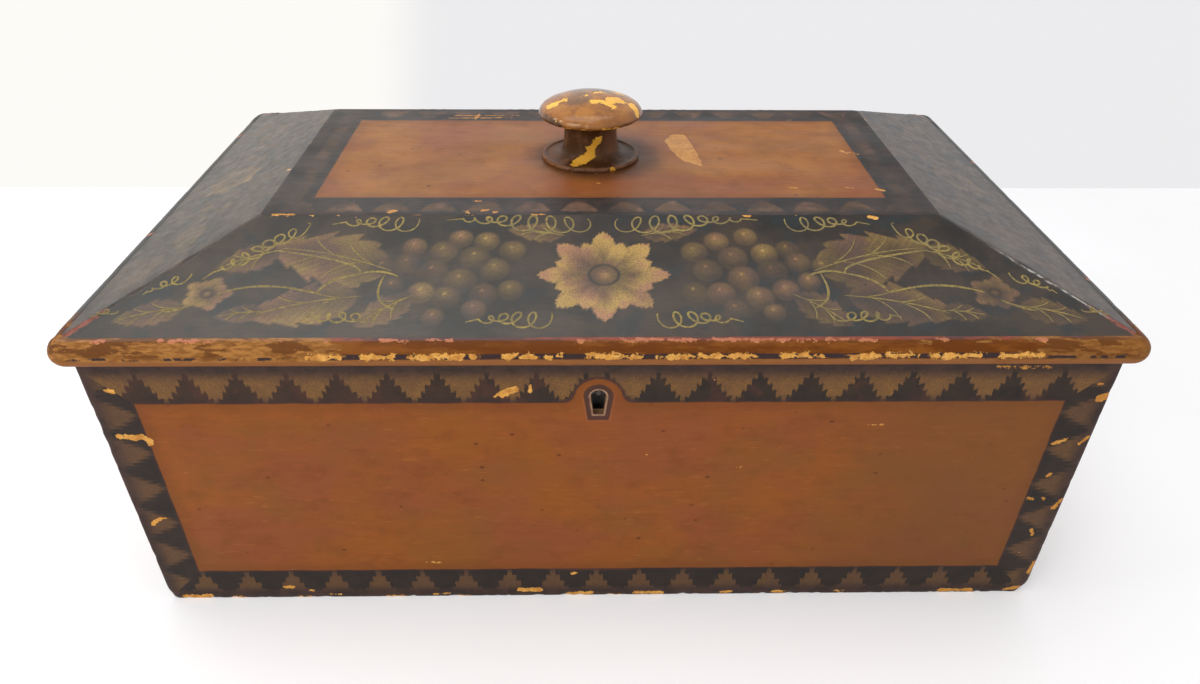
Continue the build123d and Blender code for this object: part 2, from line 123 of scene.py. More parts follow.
LINE_YELLOW = (0.28, 0.205, 0.05)
LINE_FADED = (0.13, 0.105, 0.055)
LINE_DARK = (0.11, 0.082, 0.03)
COPPER = (0.34, 0.165, 0.088)
OCHRE = (0.56, 0.26, 0.048)
OCHRE_PALE = (0.66, 0.35, 0.088)
OCHRE_DIRT_AND_SHADE = (0.38, 0.15, 0.03)
WORN_WOOD = (0.2, 0.078, 0.016)
WORN_OCHRE = (0.33, 0.145, 0.034)
DARK_WEAR_AND_SHADE = (0.105, 0.035, 0.007)
MAUVE = (0.24, 0.09, 0.024)
MAUVE_DARK = (0.21, 0.082, 0.026)
NOSE_BROWN = (0.115, 0.031, 0.003)
NOSE_LIGHT = (0.19, 0.06, 0.008)
STRIPE_DARK = (0.035, 0.02, 0.02)
ARRIS_PURPLE = (0.07, 0.034, 0.038)
SALMON = (0.4, 0.14, 0.07)
KNOB_TAN = (0.37, 0.145, 0.027)
KNOB_BROWN = (0.22, 0.078, 0.02)
KNOB_GREY = (0.1, 0.075, 0.05)
KNOB_DARK = (0.052, 0.02, 0.007)
KNOB_YELLOW = (0.88, 0.47, 0.06)
STEM_YELLOW = (0.5, 0.24, 0.02)
STEM_BROWN = (0.13, 0.055, 0.022)
STEM_LIT = (0.17, 0.078, 0.042)
BEAD_BROWN = (0.14, 0.062, 0.034)
FLANGE_RED = (0.19, 0.07, 0.02)
PALE_SCRATCH_AND_HIGHLIGHT = (0.4, 0.38, 0.355)
RED_WEAR = (0.24, 0.05, 0.03)
WARM_SHEEN = (1.0, 0.97, 0.9)
DUSTY_SHEEN = (1.0, 0.9, 0.8)
KNOB_SHEEN = (1.0, 0.88, 0.7)
PINE = (0.62, 0.36, 0.15)
PINE_DARK = (0.36, 0.17, 0.06)
PINE_GREY = (0.3, 0.2, 0.12)


# ------------------------------------------------------------------ shader values as sums

class Field:
    """A value or colour in a shader. Values can be used in sums."""

    def __init__(self, nodes, socket):
        self.nodes = nodes
        self.socket = socket

    def do(self, operation, *others):
        return self.nodes.math(operation, self, *others)

    def __rsub__(self, other):
        return self.nodes.math("SUBTRACT", other, self)

    def step(self, low, high):
        """0 at low and 1 at high, with a soft step between; low may be the larger."""
        sources = {"Value": self, "From Min": min(low, high), "From Max": max(low, high)}
        if low > high:
            sources.update({"To Min": 1.0, "To Max": 0.0})
        return self.nodes.field("MapRange", sources, "Result", interpolation_type="SMOOTHSTEP")

    def coat(self, mask, colour):
        """This colour, covered by another one where the mask is 1."""
        return self.nodes.mix(mask, self, colour)


for method, operation in (
    ("__add__", "ADD"), ("__radd__", "ADD"), ("__sub__", "SUBTRACT"), ("__mul__", "MULTIPLY"),
    ("__rmul__", "MULTIPLY"), ("__truediv__", "DIVIDE"), ("least", "MINIMUM"),
    ("most", "MAXIMUM"), ("absolute", "ABSOLUTE"), ("fraction", "FRACT"), ("root", "SQRT"),
):
    setattr(Field, method, functools.partialmethod(Field.do, operation))


def distance(a, b):
    return (a * a + b * b).root()


class Nodes:
    """The nodes of a material or of the world."""

    def __init__(self, owner):
        self.owner = owner
        owner.use_nodes = True
        self.tree = owner.node_tree
        self.tree.nodes.clear()

    def join(self, source, socket):
        if isinstance(source, Field):
            self.tree.links.new(source.socket, socket)
        elif socket.type == "RGBA":
            socket.default_value = (*source, 1)
        else:
            socket.default_value = source

    def add(self, kind, sources=(), **settings):
        """A node whose inputs are joined or set by name or number."""
        node = self.tree.nodes.new("ShaderNode" + kind)
        for name, value in settings.items():
            setattr(node, name, value)
        for name, source in dict(sources).items():
            self.join(source, node.inputs[name])
        return node

    def field(self, kind, sources=(), output=0, **settings):
        return Field(self, self.add(kind, sources, **settings).outputs[output])

    def math(self, operation, *values):
        return self.field("Math", enumerate(values), operation=operation)

    def mix(self, mask, first, second):
        return self.field("Mix", {0: mask, 6: first, 7: second}, 2, data_type="RGBA")

    def blend(self, mask, first, second):
        return self.field("MixShader", {0: mask, 1: first, 2: second})

    def seen_by(self, *kinds):
        """1 for rays of any of these kinds."""
        rays = self.add("LightPath").outputs
        fields = [Field(self, rays[f"Is {kind} Ray"]) for kind in kinds]
        return functools.reduce(Field.most, fields)


class Shader(Nodes):
    """A material. Its x, y and z are millimetres in the frame, whatever the pose."""

    def __init__(self, name):
        super().__init__(bpy.data.materials.new(name))
        place = self.field("TexCoord", output="Object")
        self.place = self.field("VectorMath", {0: place, "Scale": 1 / MM}, operation="SCALE")
        parts = self.add("SeparateXYZ", {0: self.place}).outputs
        self.at = [Field(self, part) for part in parts]

    def mapping(self, size, stretch, shift):
        """Coordinates that grow by one over size millimetres, times stretch along each axis."""
        scale = [1 / (size * s) for s in stretch]
        sources = {"Vector": self.place, "Scale": scale, "Location": shift}
        return self.field("Mapping", sources, vector_type="POINT")

    def noise(self, size, detail=3.0, roughness=0.55, stretch=(1, 1, 1), shift=0.0):
        """Noise from 0 to 1 whose blobs are about size millimetres, times stretch."""
        place = self.mapping(size, stretch, (shift, shift * 0.7, shift * 1.3))
        sources = {"Vector": place, "Scale": 1.0, "Detail": detail, "Roughness": roughness}
        return self.field("TexNoise", sources, "Fac")

    def jitter(self, reach, *facts, **shape):
        """Noise that is reach wide and lies round 0."""
        return (self.noise(*facts, **shape) - 0.5) * reach

    def cells(self, size, stretch=(1, 1, 1), shift=0.0):
        """Distance to the nearest of many scattered points, in units of size."""
        place = self.mapping(size, stretch, (shift, shift, shift))
        return self.field("TexVoronoi", {"Vector": place, "Scale": 1.0}, "Distance")

    def painted(self, name):
        """A value that was painted on the mesh."""
        return self.field("Attribute", output="Fac", attribute_name=name)

    def bump(self, height, depth, normal=None):
        """Relief of height (0 to 1) times depth in millimetres, over another one."""
        sources = {"Strength": 1.0, "Distance": depth * MM, "Height": height}
        if normal is not None:
            sources["Normal"] = normal
        return self.field("Bump", sources)

    def finish(self, colour, roughness, normal, gloss=0.5, metallic=0.0, tint=(1, 1, 1)):
        return self.end(self.field("BsdfPrincipled", {
            "Base Color": colour, "Roughness": roughness, "Normal": normal, "Metallic": metallic,
            "Specular IOR Level": gloss, "Specular Tint": tint,
        }))

    def end(self, surface):
        self.add("OutputMaterial", {"Surface": surface})
        return self.owner


# ------------------------------------------------------------------ camera, lights, world

def new_object(name, data):
    thing = bpy.data.objects.new(name, data)
    bpy.context.scene.collection.objects.link(thing)
    return thing


def add_camera():
    data = bpy.data.cameras.new("camera")
    data.sensor_width = 36.0
    data.lens = FOCAL_PIXELS / PHOTO_W * data.sensor_width
    data.shift_y = -(PHOTO_H / 2 - MIDDLE_Y) / PHOTO_W
    data.clip_start = 0.01
    camera = new_object("camera", data)
    turn = Matrix.Rotation(-YAW, 4, "Z") @ Matrix.Rotation(math.pi / 2 - PITCH, 4, "X")
    place = Matrix.Translation(Vector(CAMERA_AT) * MM)
    camera.matrix_world = place @ turn @ Matrix.Rotation(ROLL, 4, "Z")
    bpy.context.scene.camera = camera


def add_lamp(name, place, target, size, power):
    data = bpy.data.lights.new(name, "AREA")
    data.shape = "RECTANGLE"
    data.size, data.size_y = size
    data.energy = power
    lamp = new_object(name, data)
    lamp.location = place
    aim = Vector(target) - Vector(place)
    lamp.rotation_euler = aim.to_track_quat("-Z", "Y").to_euler()


def add_world():
    """Soft warm light; the camera and reflections see a plain white."""
    world = bpy.data.worlds.new("studio")
    bpy.context.scene.world = world
    nodes = Nodes(world)
    lit = nodes.field("Background", {"Color": (1, 0.985, 0.97), "Strength": 0.66})
    white = nodes.field("Background", {"Color": (0.93, 0.925, 0.92), "Strength": 1.0})
    shown = nodes.seen_by("Camera", "Transmission", "Glossy")
    nodes.add("OutputWorld", {"Surface": nodes.blend(shown, lit, white)})


bpy.context.scene.view_settings.view_transform = "Standard"
add_camera()
add_world()
add_lamp("overhead", (-0.15, 0.1, 1.3), (0, 0, 0.1), (1.4, 1.0), 8.2)
add_lamp("front_fill", (-0.9, -1.2, 0.8), (-0.05, 0, 0.05), (1.0, 0.8), 10.3)
add_lamp("window", (-1.2, -0.22, 0.85), (0, 0, 0.15), (0.25, 0.25), 2.4)


# ------------------------------------------------------------------ painting on a mesh

def lump(points, size, shift=0.0):
    """Smooth noise from -1 to 1 at each point, with blobs of about size millimetres."""
    scaled = np.asarray(points) / size + shift
    return np.array([space_noise.noise(Vector(p)) for p in scaled])


def soft(value, low, high):
    """0 below low and 1 above high, with a soft step between."""
    t = np.clip((value - low) / (high - low), 0, 1)
    return t * t * (3 - 2 * t)


def stroke(spots, path, radius):
    """How far each spot is inside a stroke along the path, in millimetres; outside is negative."""
    path = np.asarray(path, float).reshape(-1, spots.shape[1])
    far = np.linalg.norm(spots - path[0], axis=1)
    for a, b in zip(path[:-1], path[1:]):
        along = b - a
        t = np.clip(((spots - a) @ along) / max(along @ along, 1e-9), 0, 1)
        far = np.minimum(far, np.linalg.norm(spots - a - t[:, None] * along, axis=1))
    return radius - far


def facet(spots, corners):
    """How far each spot is inside a convex outline, given anticlockwise, in millimetres."""
    inside = np.full(len(spots), 1e9)
    corners = np.asarray(corners, float)
    for a, b in zip(corners, np.roll(corners, -1, axis=0)):
        edge = (b - a) / np.linalg.norm(b - a)
        inside = np.minimum(inside, edge[0] * (spots[:, 1] - a[1]) - edge[1] * (spots[:, 0] - a[0]))
    return inside


def bared(deep):
    """A paint loss: above 0.5 where deep, in millimetres, is above 0."""
    return np.clip(0.5 + deep / 2.4, 0, 1)


def chips(spots, strokes):
    """Paint losses inside strokes, each a radius and then the coordinates of its path."""
    deep = np.full(len(spots), -2.0)
    for radius, *path in strokes:
        deep = np.maximum(deep, stroke(spots, path, radius))
    return bared(deep)


# ------------------------------------------------------------------ meshes

def paint_values(mesh, values):
    for name, numbers in values.items():
        layer = mesh.attributes.new(name, "FLOAT", "POINT")
        layer.data.foreach_set("value", np.asarray(numbers, np.float32))


def raw_mesh(name, points, faces):
    mesh = bpy.data.meshes.new(name)
    mesh.from_pydata((np.asarray(points) * MM).tolist(), [], faces)
    return mesh


def clean(mesh, sharp=None, weld=False):
    """Turns faces outwards, and makes them smooth where edges are under sharp degrees."""
    work = bmesh.new()
    work.from_mesh(mesh)
    if weld:
        bmesh.ops.remove_doubles(work, verts=work.verts, dist=2e-6)
        bmesh.ops.dissolve_degenerate(work, edges=work.edges, dist=1e-6)
    bmesh.ops.recalc_face_normals(work, faces=work.faces)
    if sharp:
        for face in work.faces:
            face.smooth = True
        for edge in work.edges:
            if len(edge.link_faces) == 2 and edge.calc_face_angle(0) > math.radians(sharp):
                edge.smooth = False
    work.to_mesh(mesh)
    work.free()
    return mesh


def make_mesh(name, points, faces, **values):
    """A closed mesh from points in millimetres, with painted values by name."""
    mesh = raw_mesh(name, points, faces)
    paint_values(mesh, values)
    return clean(mesh, sharp=32, weld=True)


def points_of(mesh):
    spots = np.zeros(len(mesh.vertices) * 3)
    mesh.vertices.foreach_get("co", spots)
    return spots.reshape(-1, 3) / MM


def applied(work, *tools):
    """The mesh of an object with its modifiers; it and the tools are removed."""
    graph = bpy.context.evaluated_depsgraph_get()
    made = bpy.data.meshes.new_from_object(work.evaluated_get(graph), depsgraph=graph)
    for thing in (work, *tools):
        bpy.data.objects.remove(thing)
    return made


def cut(mesh, parts, on_skin):
    """Takes the parts, each (points, faces), out of the mesh, one after another.

    on_skin says which points are on the painted outside, because new points lose that value.
    """
    work = new_object("work", mesh)
    tools = [new_object("cutter", clean(raw_mesh("cutter", *part))) for part in parts]
    for tool in tools:
        step = work.modifiers.new("cut", "BOOLEAN")
        step.operation = "DIFFERENCE"
        step.solver = "EXACT"
        step.object = tool
    made = applied(work, *tools)
    skin = np.zeros(len(made.vertices), np.float32)
    layer = made.attributes["skin"].data
    layer.foreach_get("value", skin)
    skin[on_skin(points_of(made))] = 1.0
    layer.foreach_set("value", skin)
    return made


def add_piece(name, mesh, body, slot, material, *nodes):
    """Shows a mesh as a piece that rides on a body and stands for CAD nodes."""
    piece = new_object(name, mesh)
    mesh.materials.clear()
    mesh.materials.append(material)
    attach(piece, body)
    if nodes:
        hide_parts(*nodes)


def grid_faces(rows, columns, wrap_rows=False, wrap_columns=False):
    """Quads between rows of points."""
    faces = []
    for i in range(rows if wrap_rows else rows - 1):
        a, b = i * columns, (i + 1) % rows * columns
        for k in range(columns if wrap_columns else columns - 1):
            following = (k + 1) % columns
            faces.append((a + k, a + following, b + following, b + k))
    return faces


def block(x, half, y0, y1, z0, z1):
    """A block that reaches half to both sides of x."""
    points = [(a, b, c) for a in (x - half, x + half) for b in (y0, y1) for c in (z0, z1)]
    faces = [(0, 1, 3, 2), (4, 6, 7, 5), (0, 4, 5, 1), (2, 3, 7, 6), (0, 2, 6, 4), (1, 5, 7, 3)]
    return points, faces


def prism(outline, start, end):
    """A closed prism between the same outline moved by start and by end."""
    n = len(outline)
    points = [tuple(np.add(p, move)) for move in (start, end) for p in outline]
    faces = [tuple(range(n)), tuple(range(2 * n - 1, n - 1, -1))]
    faces += [(i, (i + 1) % n, n + (i + 1) % n, n + i) for i in range(n)]
    return points, faces


def circle(radius, count):
    turns = [2 * math.pi * i / count for i in range(count)]
    return [(radius * math.cos(t), radius * math.sin(t)) for t in turns]


def arc(centre, radius, start, end, count):
    """Points on an arc in the plane of a profile; angles in degrees."""
    turns = np.radians(np.linspace(start, end, count))
    return [(centre[0] + radius * math.cos(t), centre[1] + radius * math.sin(t)) for t in turns]


def spin(side):
    """Turns a point in plan from the front to a side."""
    turn = SIDES.index(side) * math.pi / 2
    return np.array([[math.cos(turn), -math.sin(turn)], [math.sin(turn), math.cos(turn)]])


def ring_board(side, outer, inner, half, step, radius, wear):
    """One mitred board of a ring of four.

    outer and inner are profile points (distance in from the half size, height) that make one
    closed loop; only the outer ones follow the rounded corners and wear. Returns the points,
    the faces, and for each point whether it is on the outside, how worn it is, its place along
    the board and its place along the outer profile.
    """
    along, across = half if side in LONG_SIDES else half[::-1]
    loop = [*outer, *inner]
    count = max(2, round(2 * along / step))
    corner_steps = 6
    tangent = np.gradient(np.array(outer), axis=0)
    normals = tangent[:, ::-1] / np.hypot(*tangent.T)[:, None]
    run = np.concatenate([[0], np.cumsum(np.hypot(*np.diff(outer, axis=0).T))])
    turned = spin(side)
    ends = [np.sign(turned @ (sign, -1.0)) for sign in (-1.0, 1.0)]
    points, directions, places, runs = [], [], [], []
    for i, (inset, height) in enumerate(loop):
        outside = i < len(outer)
        flat, rise = normals[i] if outside else (0.0, 0.0)
        radii = [radius(end, inset, height) if outside else 0.0 for end in ends]
        reach = along - inset
        line = np.linspace(-reach + radii[0], reach - radii[1], count + 1)
        row = [(u, across - inset, 0.0) for u in line]
        for r, sign in zip(radii, (-1, 1)):
            bend = []
            for k in range(1, corner_steps + 1):
                angle = math.radians(45 * k / corner_steps)
                u = sign * (reach - r + r * math.sin(angle))
                bend.append((u, across - inset - r + r * math.cos(angle), sign * angle))
            row = bend[::-1] + row if sign < 0 else row + bend
        for u, out, angle in row:
            points.append((*(turned @ (u, -out)), height))
            away = (math.sin(angle) * flat, -math.cos(angle) * flat)
            directions.append((*(turned @ away), rise))
            places.append(u)
            runs.append(run[i] if outside else -1.0)
    rows = len(loop)
    columns = len(points) // rows
    points, directions = np.array(points), np.array(directions)
    skin = (np.array(runs) >= 0).astype(float)
    worn = wear(points) * skin
    points -= directions * worn[:, None]
    faces = grid_faces(rows, columns, wrap_rows=True)
    faces.append(tuple(i * columns for i in range(rows)))
    faces.append(tuple(i * columns + columns - 1 for i in range(rows))[::-1])
    return points, faces, skin, worn, np.array(places), np.array(runs)


# ------------------------------------------------------------------ wood and metal

def stretched(axis, length):
    stretch = [1.0, 1.0, 1.0]
    stretch[axis] = length
    return stretch


def pine_colours(shader, axis, dirt):
    """Colour and relief of bare pine whose grain runs along an axis, 0 to 2."""
    stretch = stretched(axis, 26.0)
    lines = shader.noise(1.1, 4, 0.6, stretch)
    wide = shader.noise(7.0, 2, 0.5, stretch, shift=4.0)
    rings = (wide * 9.0 + lines * 1.2).fraction()
    early = (rings - 0.5).absolute().step(0.12, 0.45)
    wood = shader.mix(early * 0.55, PINE, PINE_DARK)
    stain = shader.noise(38.0, 5, 0.6, shift=9.0).step(0.42, 0.75)
    return wood.coat(stain * dirt, PINE_GREY), lines


def bare_pine(name, axis, dirt):
    shader = Shader(name)
    wood, lines = pine_colours(shader, axis, dirt)
    return shader.finish(wood, lines.step(0.2, 0.9) * 0.2 + 0.6, shader.bump(lines, 0.25))


def metal(name, bright, dull, rust, rough):
    """Old metal: bright and dull in patches, with spots of rust or verdigris."""
    shader = Shader(name)
    cloud = shader.noise(3.2, 5, 0.65)
    fine = shader.noise(0.45, 3, 0.6, shift=2.0)
    spots = shader.noise(1.3, 4, 0.7, shift=5.0).step(0.58, 0.7)
    colour = shader.mix(cloud.step(0.35, 0.68), bright, dull).coat(spots * 0.8, rust)
    normal = shader.bump(cloud * 0.6 + fine * 0.4, 0.07)
    return shader.finish(colour, cloud * 0.3 + (rough - 0.1), normal, metallic=1.0 - spots * 0.7)


# ------------------------------------------------------------------ painted surfaces

def orange_paint(shader, axis, base):
    """Brushed orange varnish with streaks along an axis, dull patches and small dark specks."""
    noise = shader.noise
    streak = noise(0.8, 5, 0.7, stretched(axis, 30.0), shift=1.0)
    brush = noise(1.3, 5, 0.65, stretched(axis, 5.0), shift=3.0)
    cloud = noise(30.0, 4, 0.6, (1.6, 1.6, 1.0), shift=7.0)
    small = noise(7.0, 4, 0.65, (1.5, 1.5, 1.0), shift=17.0)
    mottle = noise(22.0, 4, 0.6, (1.5, 1.5, 1.0), shift=33.0)
    colour = shader.mix(cloud.step(0.38, 0.62) * 0.85, base, ORANGE_RED)
    colour = colour.coat(small.step(0.46, 0.74) * 0.5, ORANGE_DARK)
    colour = colour.coat(streak.step(0.5, 0.72) * 0.35, ORANGE_DARK)
    colour = colour.coat(brush.step(0.52, 0.72) * 0.3, ORANGE_DARK)
    colour = colour.coat(mottle.step(0.46, 0.66) * 0.4, OLIVE_BROWN)
    colour = colour.coat(brush.step(0.42, 0.28) * 0.3, OCHRE_DIRT_AND_SHADE)
    dots = shader.cells(5.5, (1.6, 1.6, 1.0), shift=2.5)
    keep = noise(11.0, 1, 0.5, shift=8.0).step(0.46, 0.56)
    colour = colour.coat(dots.step(0.13, 0.05) * keep * 0.75, SPECK)
    return colour, streak * 0.6 + brush * 0.4


def tooth_row(shader, teeth, depth, reach=12.5, steep=1.6, lead=1.2, blur=0.5):
    """A stencilled border of serrated teeth with black trees between them.

    teeth counts teeth from the tip of one of them, and depth is how far the point is from the
    panel. A tooth widens by one for every steep of depth, after lead. Returns the mask of the
    trees, and how gold the teeth are.
    """
    wobble = shader.noise(4.0, 4, 0.65, shift=6.0) - 0.5
    shake = shader.noise(1.6, 4, 0.7, shift=16.0) - 0.5
    beside = ((teeth + 0.5).fraction() - 0.5).absolute() * TOOTH + wobble * 2.4
    spike = (beside / SPIKE + 0.45).fraction()
    start = beside * steep + lead - spike * 3.1
    deep = depth + shake * 2.8
    tree = (start - deep).step(-blur, blur) * deep.step(reach + 0.5, reach - 2.0)
    glow = deep.step(-1.0, 3.5) * deep.step(reach + 0.5, 7.0)
    return tree, glow


def bare_wood_colour(shader, shift=0.0):
    """The ochre ground that shows where the paint has gone."""
    fine = shader.noise(1.4, 4, 0.65, shift=shift + 1.0)
    dirty = shader.noise(3.0, 4, 0.65, shift=shift).step(0.48, 0.66)
    return shader.mix(fine.step(0.4, 0.62), OCHRE, OCHRE_PALE).coat(dirty * 0.75, OCHRE_DIRT_AND_SHADE)


def ragged(shader, *torn):
    """The painted paint losses with a torn outline."""
    torn = shader.jitter(*(torn or (1.15, 2.2, 5, 0.72)), shift=3.0)
    return (shader.painted("bare") + torn).step(0.5, 0.55)


def over_pine(shader, colour, skin, axis, dirt):
    """Bare pine outside the painted skin. Returns the colour and the mask of the skin."""
    skin = skin.step(0.9, 0.94)
    wood, _ = pine_colours(shader, axis, dirt)
    return wood.coat(skin, colour), skin


def arched(u, z, top):
    """The upper edge of the front panel, with its notch round the keyhole."""
    bow = distance(u - LOCK_X, z - (KEYHOLE_Z - ARCH_DROP)) - ARCH_R
    near = ((ARCH_FILLET - (top - bow).absolute()) / ARCH_FILLET).most(0.0)
    return top.least(bow) - near * near * (ARCH_FILLET / 4)


def case_borders(shader, front, u, z, edge, levels):
    """The colour of the borders, dark with rows of gold teeth and sooty trees between them.

    levels are how far a point is above, below and beside the panel, and edge is the largest.
    """
    noise, mix = shader.noise, shader.mix
    top, low, beside = levels
    upper = lower = u / TOOTH
    if front:
        pitch = u.step(-3.0, -1.5) * (TOP_ROW_RIGHT - TOP_ROW_LEFT) + TOP_ROW_LEFT
        upper = ((u - TOP_ROW_MIDDLE).absolute() - TOP_ROW_FIRST) / pitch
        lower = (u + LOW_ROW_SHIFT) / TOOTH
    tree, glow = tooth_row(shader, upper, z - BAND_TOP)
    glow = glow * 1.1
    lower_row = tooth_row(shader, lower, BAND_BOTTOM - z, 11.0, 2.0, 1.6)
    side_row = tooth_row(shader, (z - SIDE_ROW_TIP) / TOOTH, beside, 12.0, 1.75, 1.3, 2.2)
    for level, (other_tree, other_glow) in ((low, lower_row), (beside, side_row)):
        here = (level - edge).step(-0.1, 0.0)
        tree = tree + (other_tree - tree) * here
        glow = glow + (other_glow * 0.56 - glow) * here
    grain = noise(0.55, 3, 0.7, shift=12.0).step(0.3, 0.7)
    patchy = noise(7.0, 4, 0.65, shift=15.0)
    glow = glow * (grain * 0.5 + 0.48) * (patchy * 1.6 + 0.03)
    border = mix(patchy.step(0.4, 0.62) * 0.55, PURPLE_BROWN, SOOT).coat(glow.least(1.0), BAND_GOLD)
    on_top = (top - edge).step(-0.3, 0.0)
    warm = on_top * (u.step(20.0, -90.0) if front else 0.5)
    maroon = noise(9.0, 3, 0.6, shift=41.0).step(0.52, 0.62) * on_top
    soot = mix(warm, SOOT, WARM_SOOT).coat(maroon * 0.6, MAROON)
    return border.coat(tree * (patchy * 0.5 + 0.65).least(1.0), soot)


def case_paint(side):
    """Orange panel in dark stencilled borders, on the outside of one wall of the case."""
    shader = Shader("painted_case_" + side)
    front, long_side = side == "front", side in LONG_SIDES
    axis = 0 if long_side else 1
    u = shader.at[axis] * (1.0 if side in ("front", "right") else -1.0)
    z = shader.at[2]
    width = (CASE_W if long_side else CASE_D) / 2 - (CASE_H - z) * CANT
    top, low, beside = z - BAND_TOP, BAND_BOTTOM - z, u.absolute() - (width - BAND_SIDE)
    if front:
        top = arched(u, z, top)
    edge = top.most(low).most(beside)
    waver = edge + shader.jitter(0.9, 9.0, 3, 0.6)
    panel = waver.step(0.3, -0.3)
    line = (waver - 0.5).absolute().step(0.75, 0.3)

    orange, relief = orange_paint(shader, axis, ORANGE)
    dirt = (edge + shader.noise(5.0, 4, 0.7) * 5.0).step(-3.0, 2.2)
    orange = orange.coat(dirt * 0.5, ORANGE_DARK)
    if front:
        # Painted shade: the front's orange darkens toward its right end.
        dull = (u + shader.jitter(60.0, 40.0, 3, 0.6)).step(40.0, 120.0)
        orange = orange.coat(dull * 0.5, RIGHT_SHADE_BROWN)

    border = case_borders(shader, front, u, z, edge, (top, low, beside))
    arch = (u - LOCK_X).absolute().step(15.0, 10.0) * 0.6 + 0.25 if front else 0.3
    colour = border.coat(line * arch, KEY_LINE).coat(panel, orange)
    if front:
        colour = keyhole_outline_paint(shader, colour)

    chipped = ragged(shader)
    # The bare ochre of the chips darkens toward one end of each wall, the right end of the front: painted
    # shade.
    ground = bare_wood_colour(shader).coat(u.step(90.0, 150.0) * 0.5, OCHRE_DIRT_AND_SHADE)
    skin = shader.painted("skin") + shader.jitter(0.06, 2.0, 3, 0.6)
    colour, skin = over_pine(shader, colour.coat(chipped, ground), skin, axis, 0.55)
    sound = skin * (1.0 - chipped)
    normal = shader.bump(sound, 0.12, shader.bump(relief, 0.12))
    haze = shader.noise(24.0, 4, 0.6, shift=20.0).step(0.3, 0.7)
    return shader.finish(colour, haze * 0.14 + 0.36 + (1.0 - sound) * 0.25, normal, gloss=0.1)


def keyhole_shape(shader, head, foot, drop):
    """How far a point is outside a keyhole, round at its head and narrower at its foot."""
    du, dz = (shader.at[0] - LOCK_X).absolute(), shader.at[2] - KEYHOLE_Z
    slant = du - (head + dz * ((head - foot) / drop))
    return (distance(du, dz) - head).least(slant.most(dz).most(-drop - dz))


def keyhole_outline_paint(shader, colour):
    """The dark line painted round the keyhole, with a faint painted highlight along the lower part of its
    edge.
    """
    shape = keyhole_shape(shader, 4.7, 3.3, 9.4) + shader.jitter(0.4, 2.0, 3, 0.6, shift=43.0)
    halo = (shape - 0.3).absolute().step(0.35, 0.1) * shader.at[2].step(92.0, 89.0)
    return colour.coat(halo * 0.22, KEYHOLE_HIGHLIGHT).coat(shape.step(0.15, -0.2) * 0.92, KEY_LINE)


def escutcheon_paint():
    """The brass rim of the keyhole: bright at the hole, under paint further out."""
    shader = Shader("escutcheon_brass")
    cloud = shader.noise(1.2, 4, 0.65)
    bare = (keyhole_shape(shader, *KEYHOLE) + (cloud - 0.5) * 0.3).step(0.62, 0.42)
    colour = shader.mix(bare, KEY_LINE, shader.mix(cloud.step(0.4, 0.65), RIM_BRIGHT, RIM_DULL))
    normal = shader.bump(bare * -1.0 + cloud * 0.3, 0.06)
    return shader.finish(colour, cloud * 0.2 + 0.4, normal, gloss=0.25, metallic=bare * 0.5)


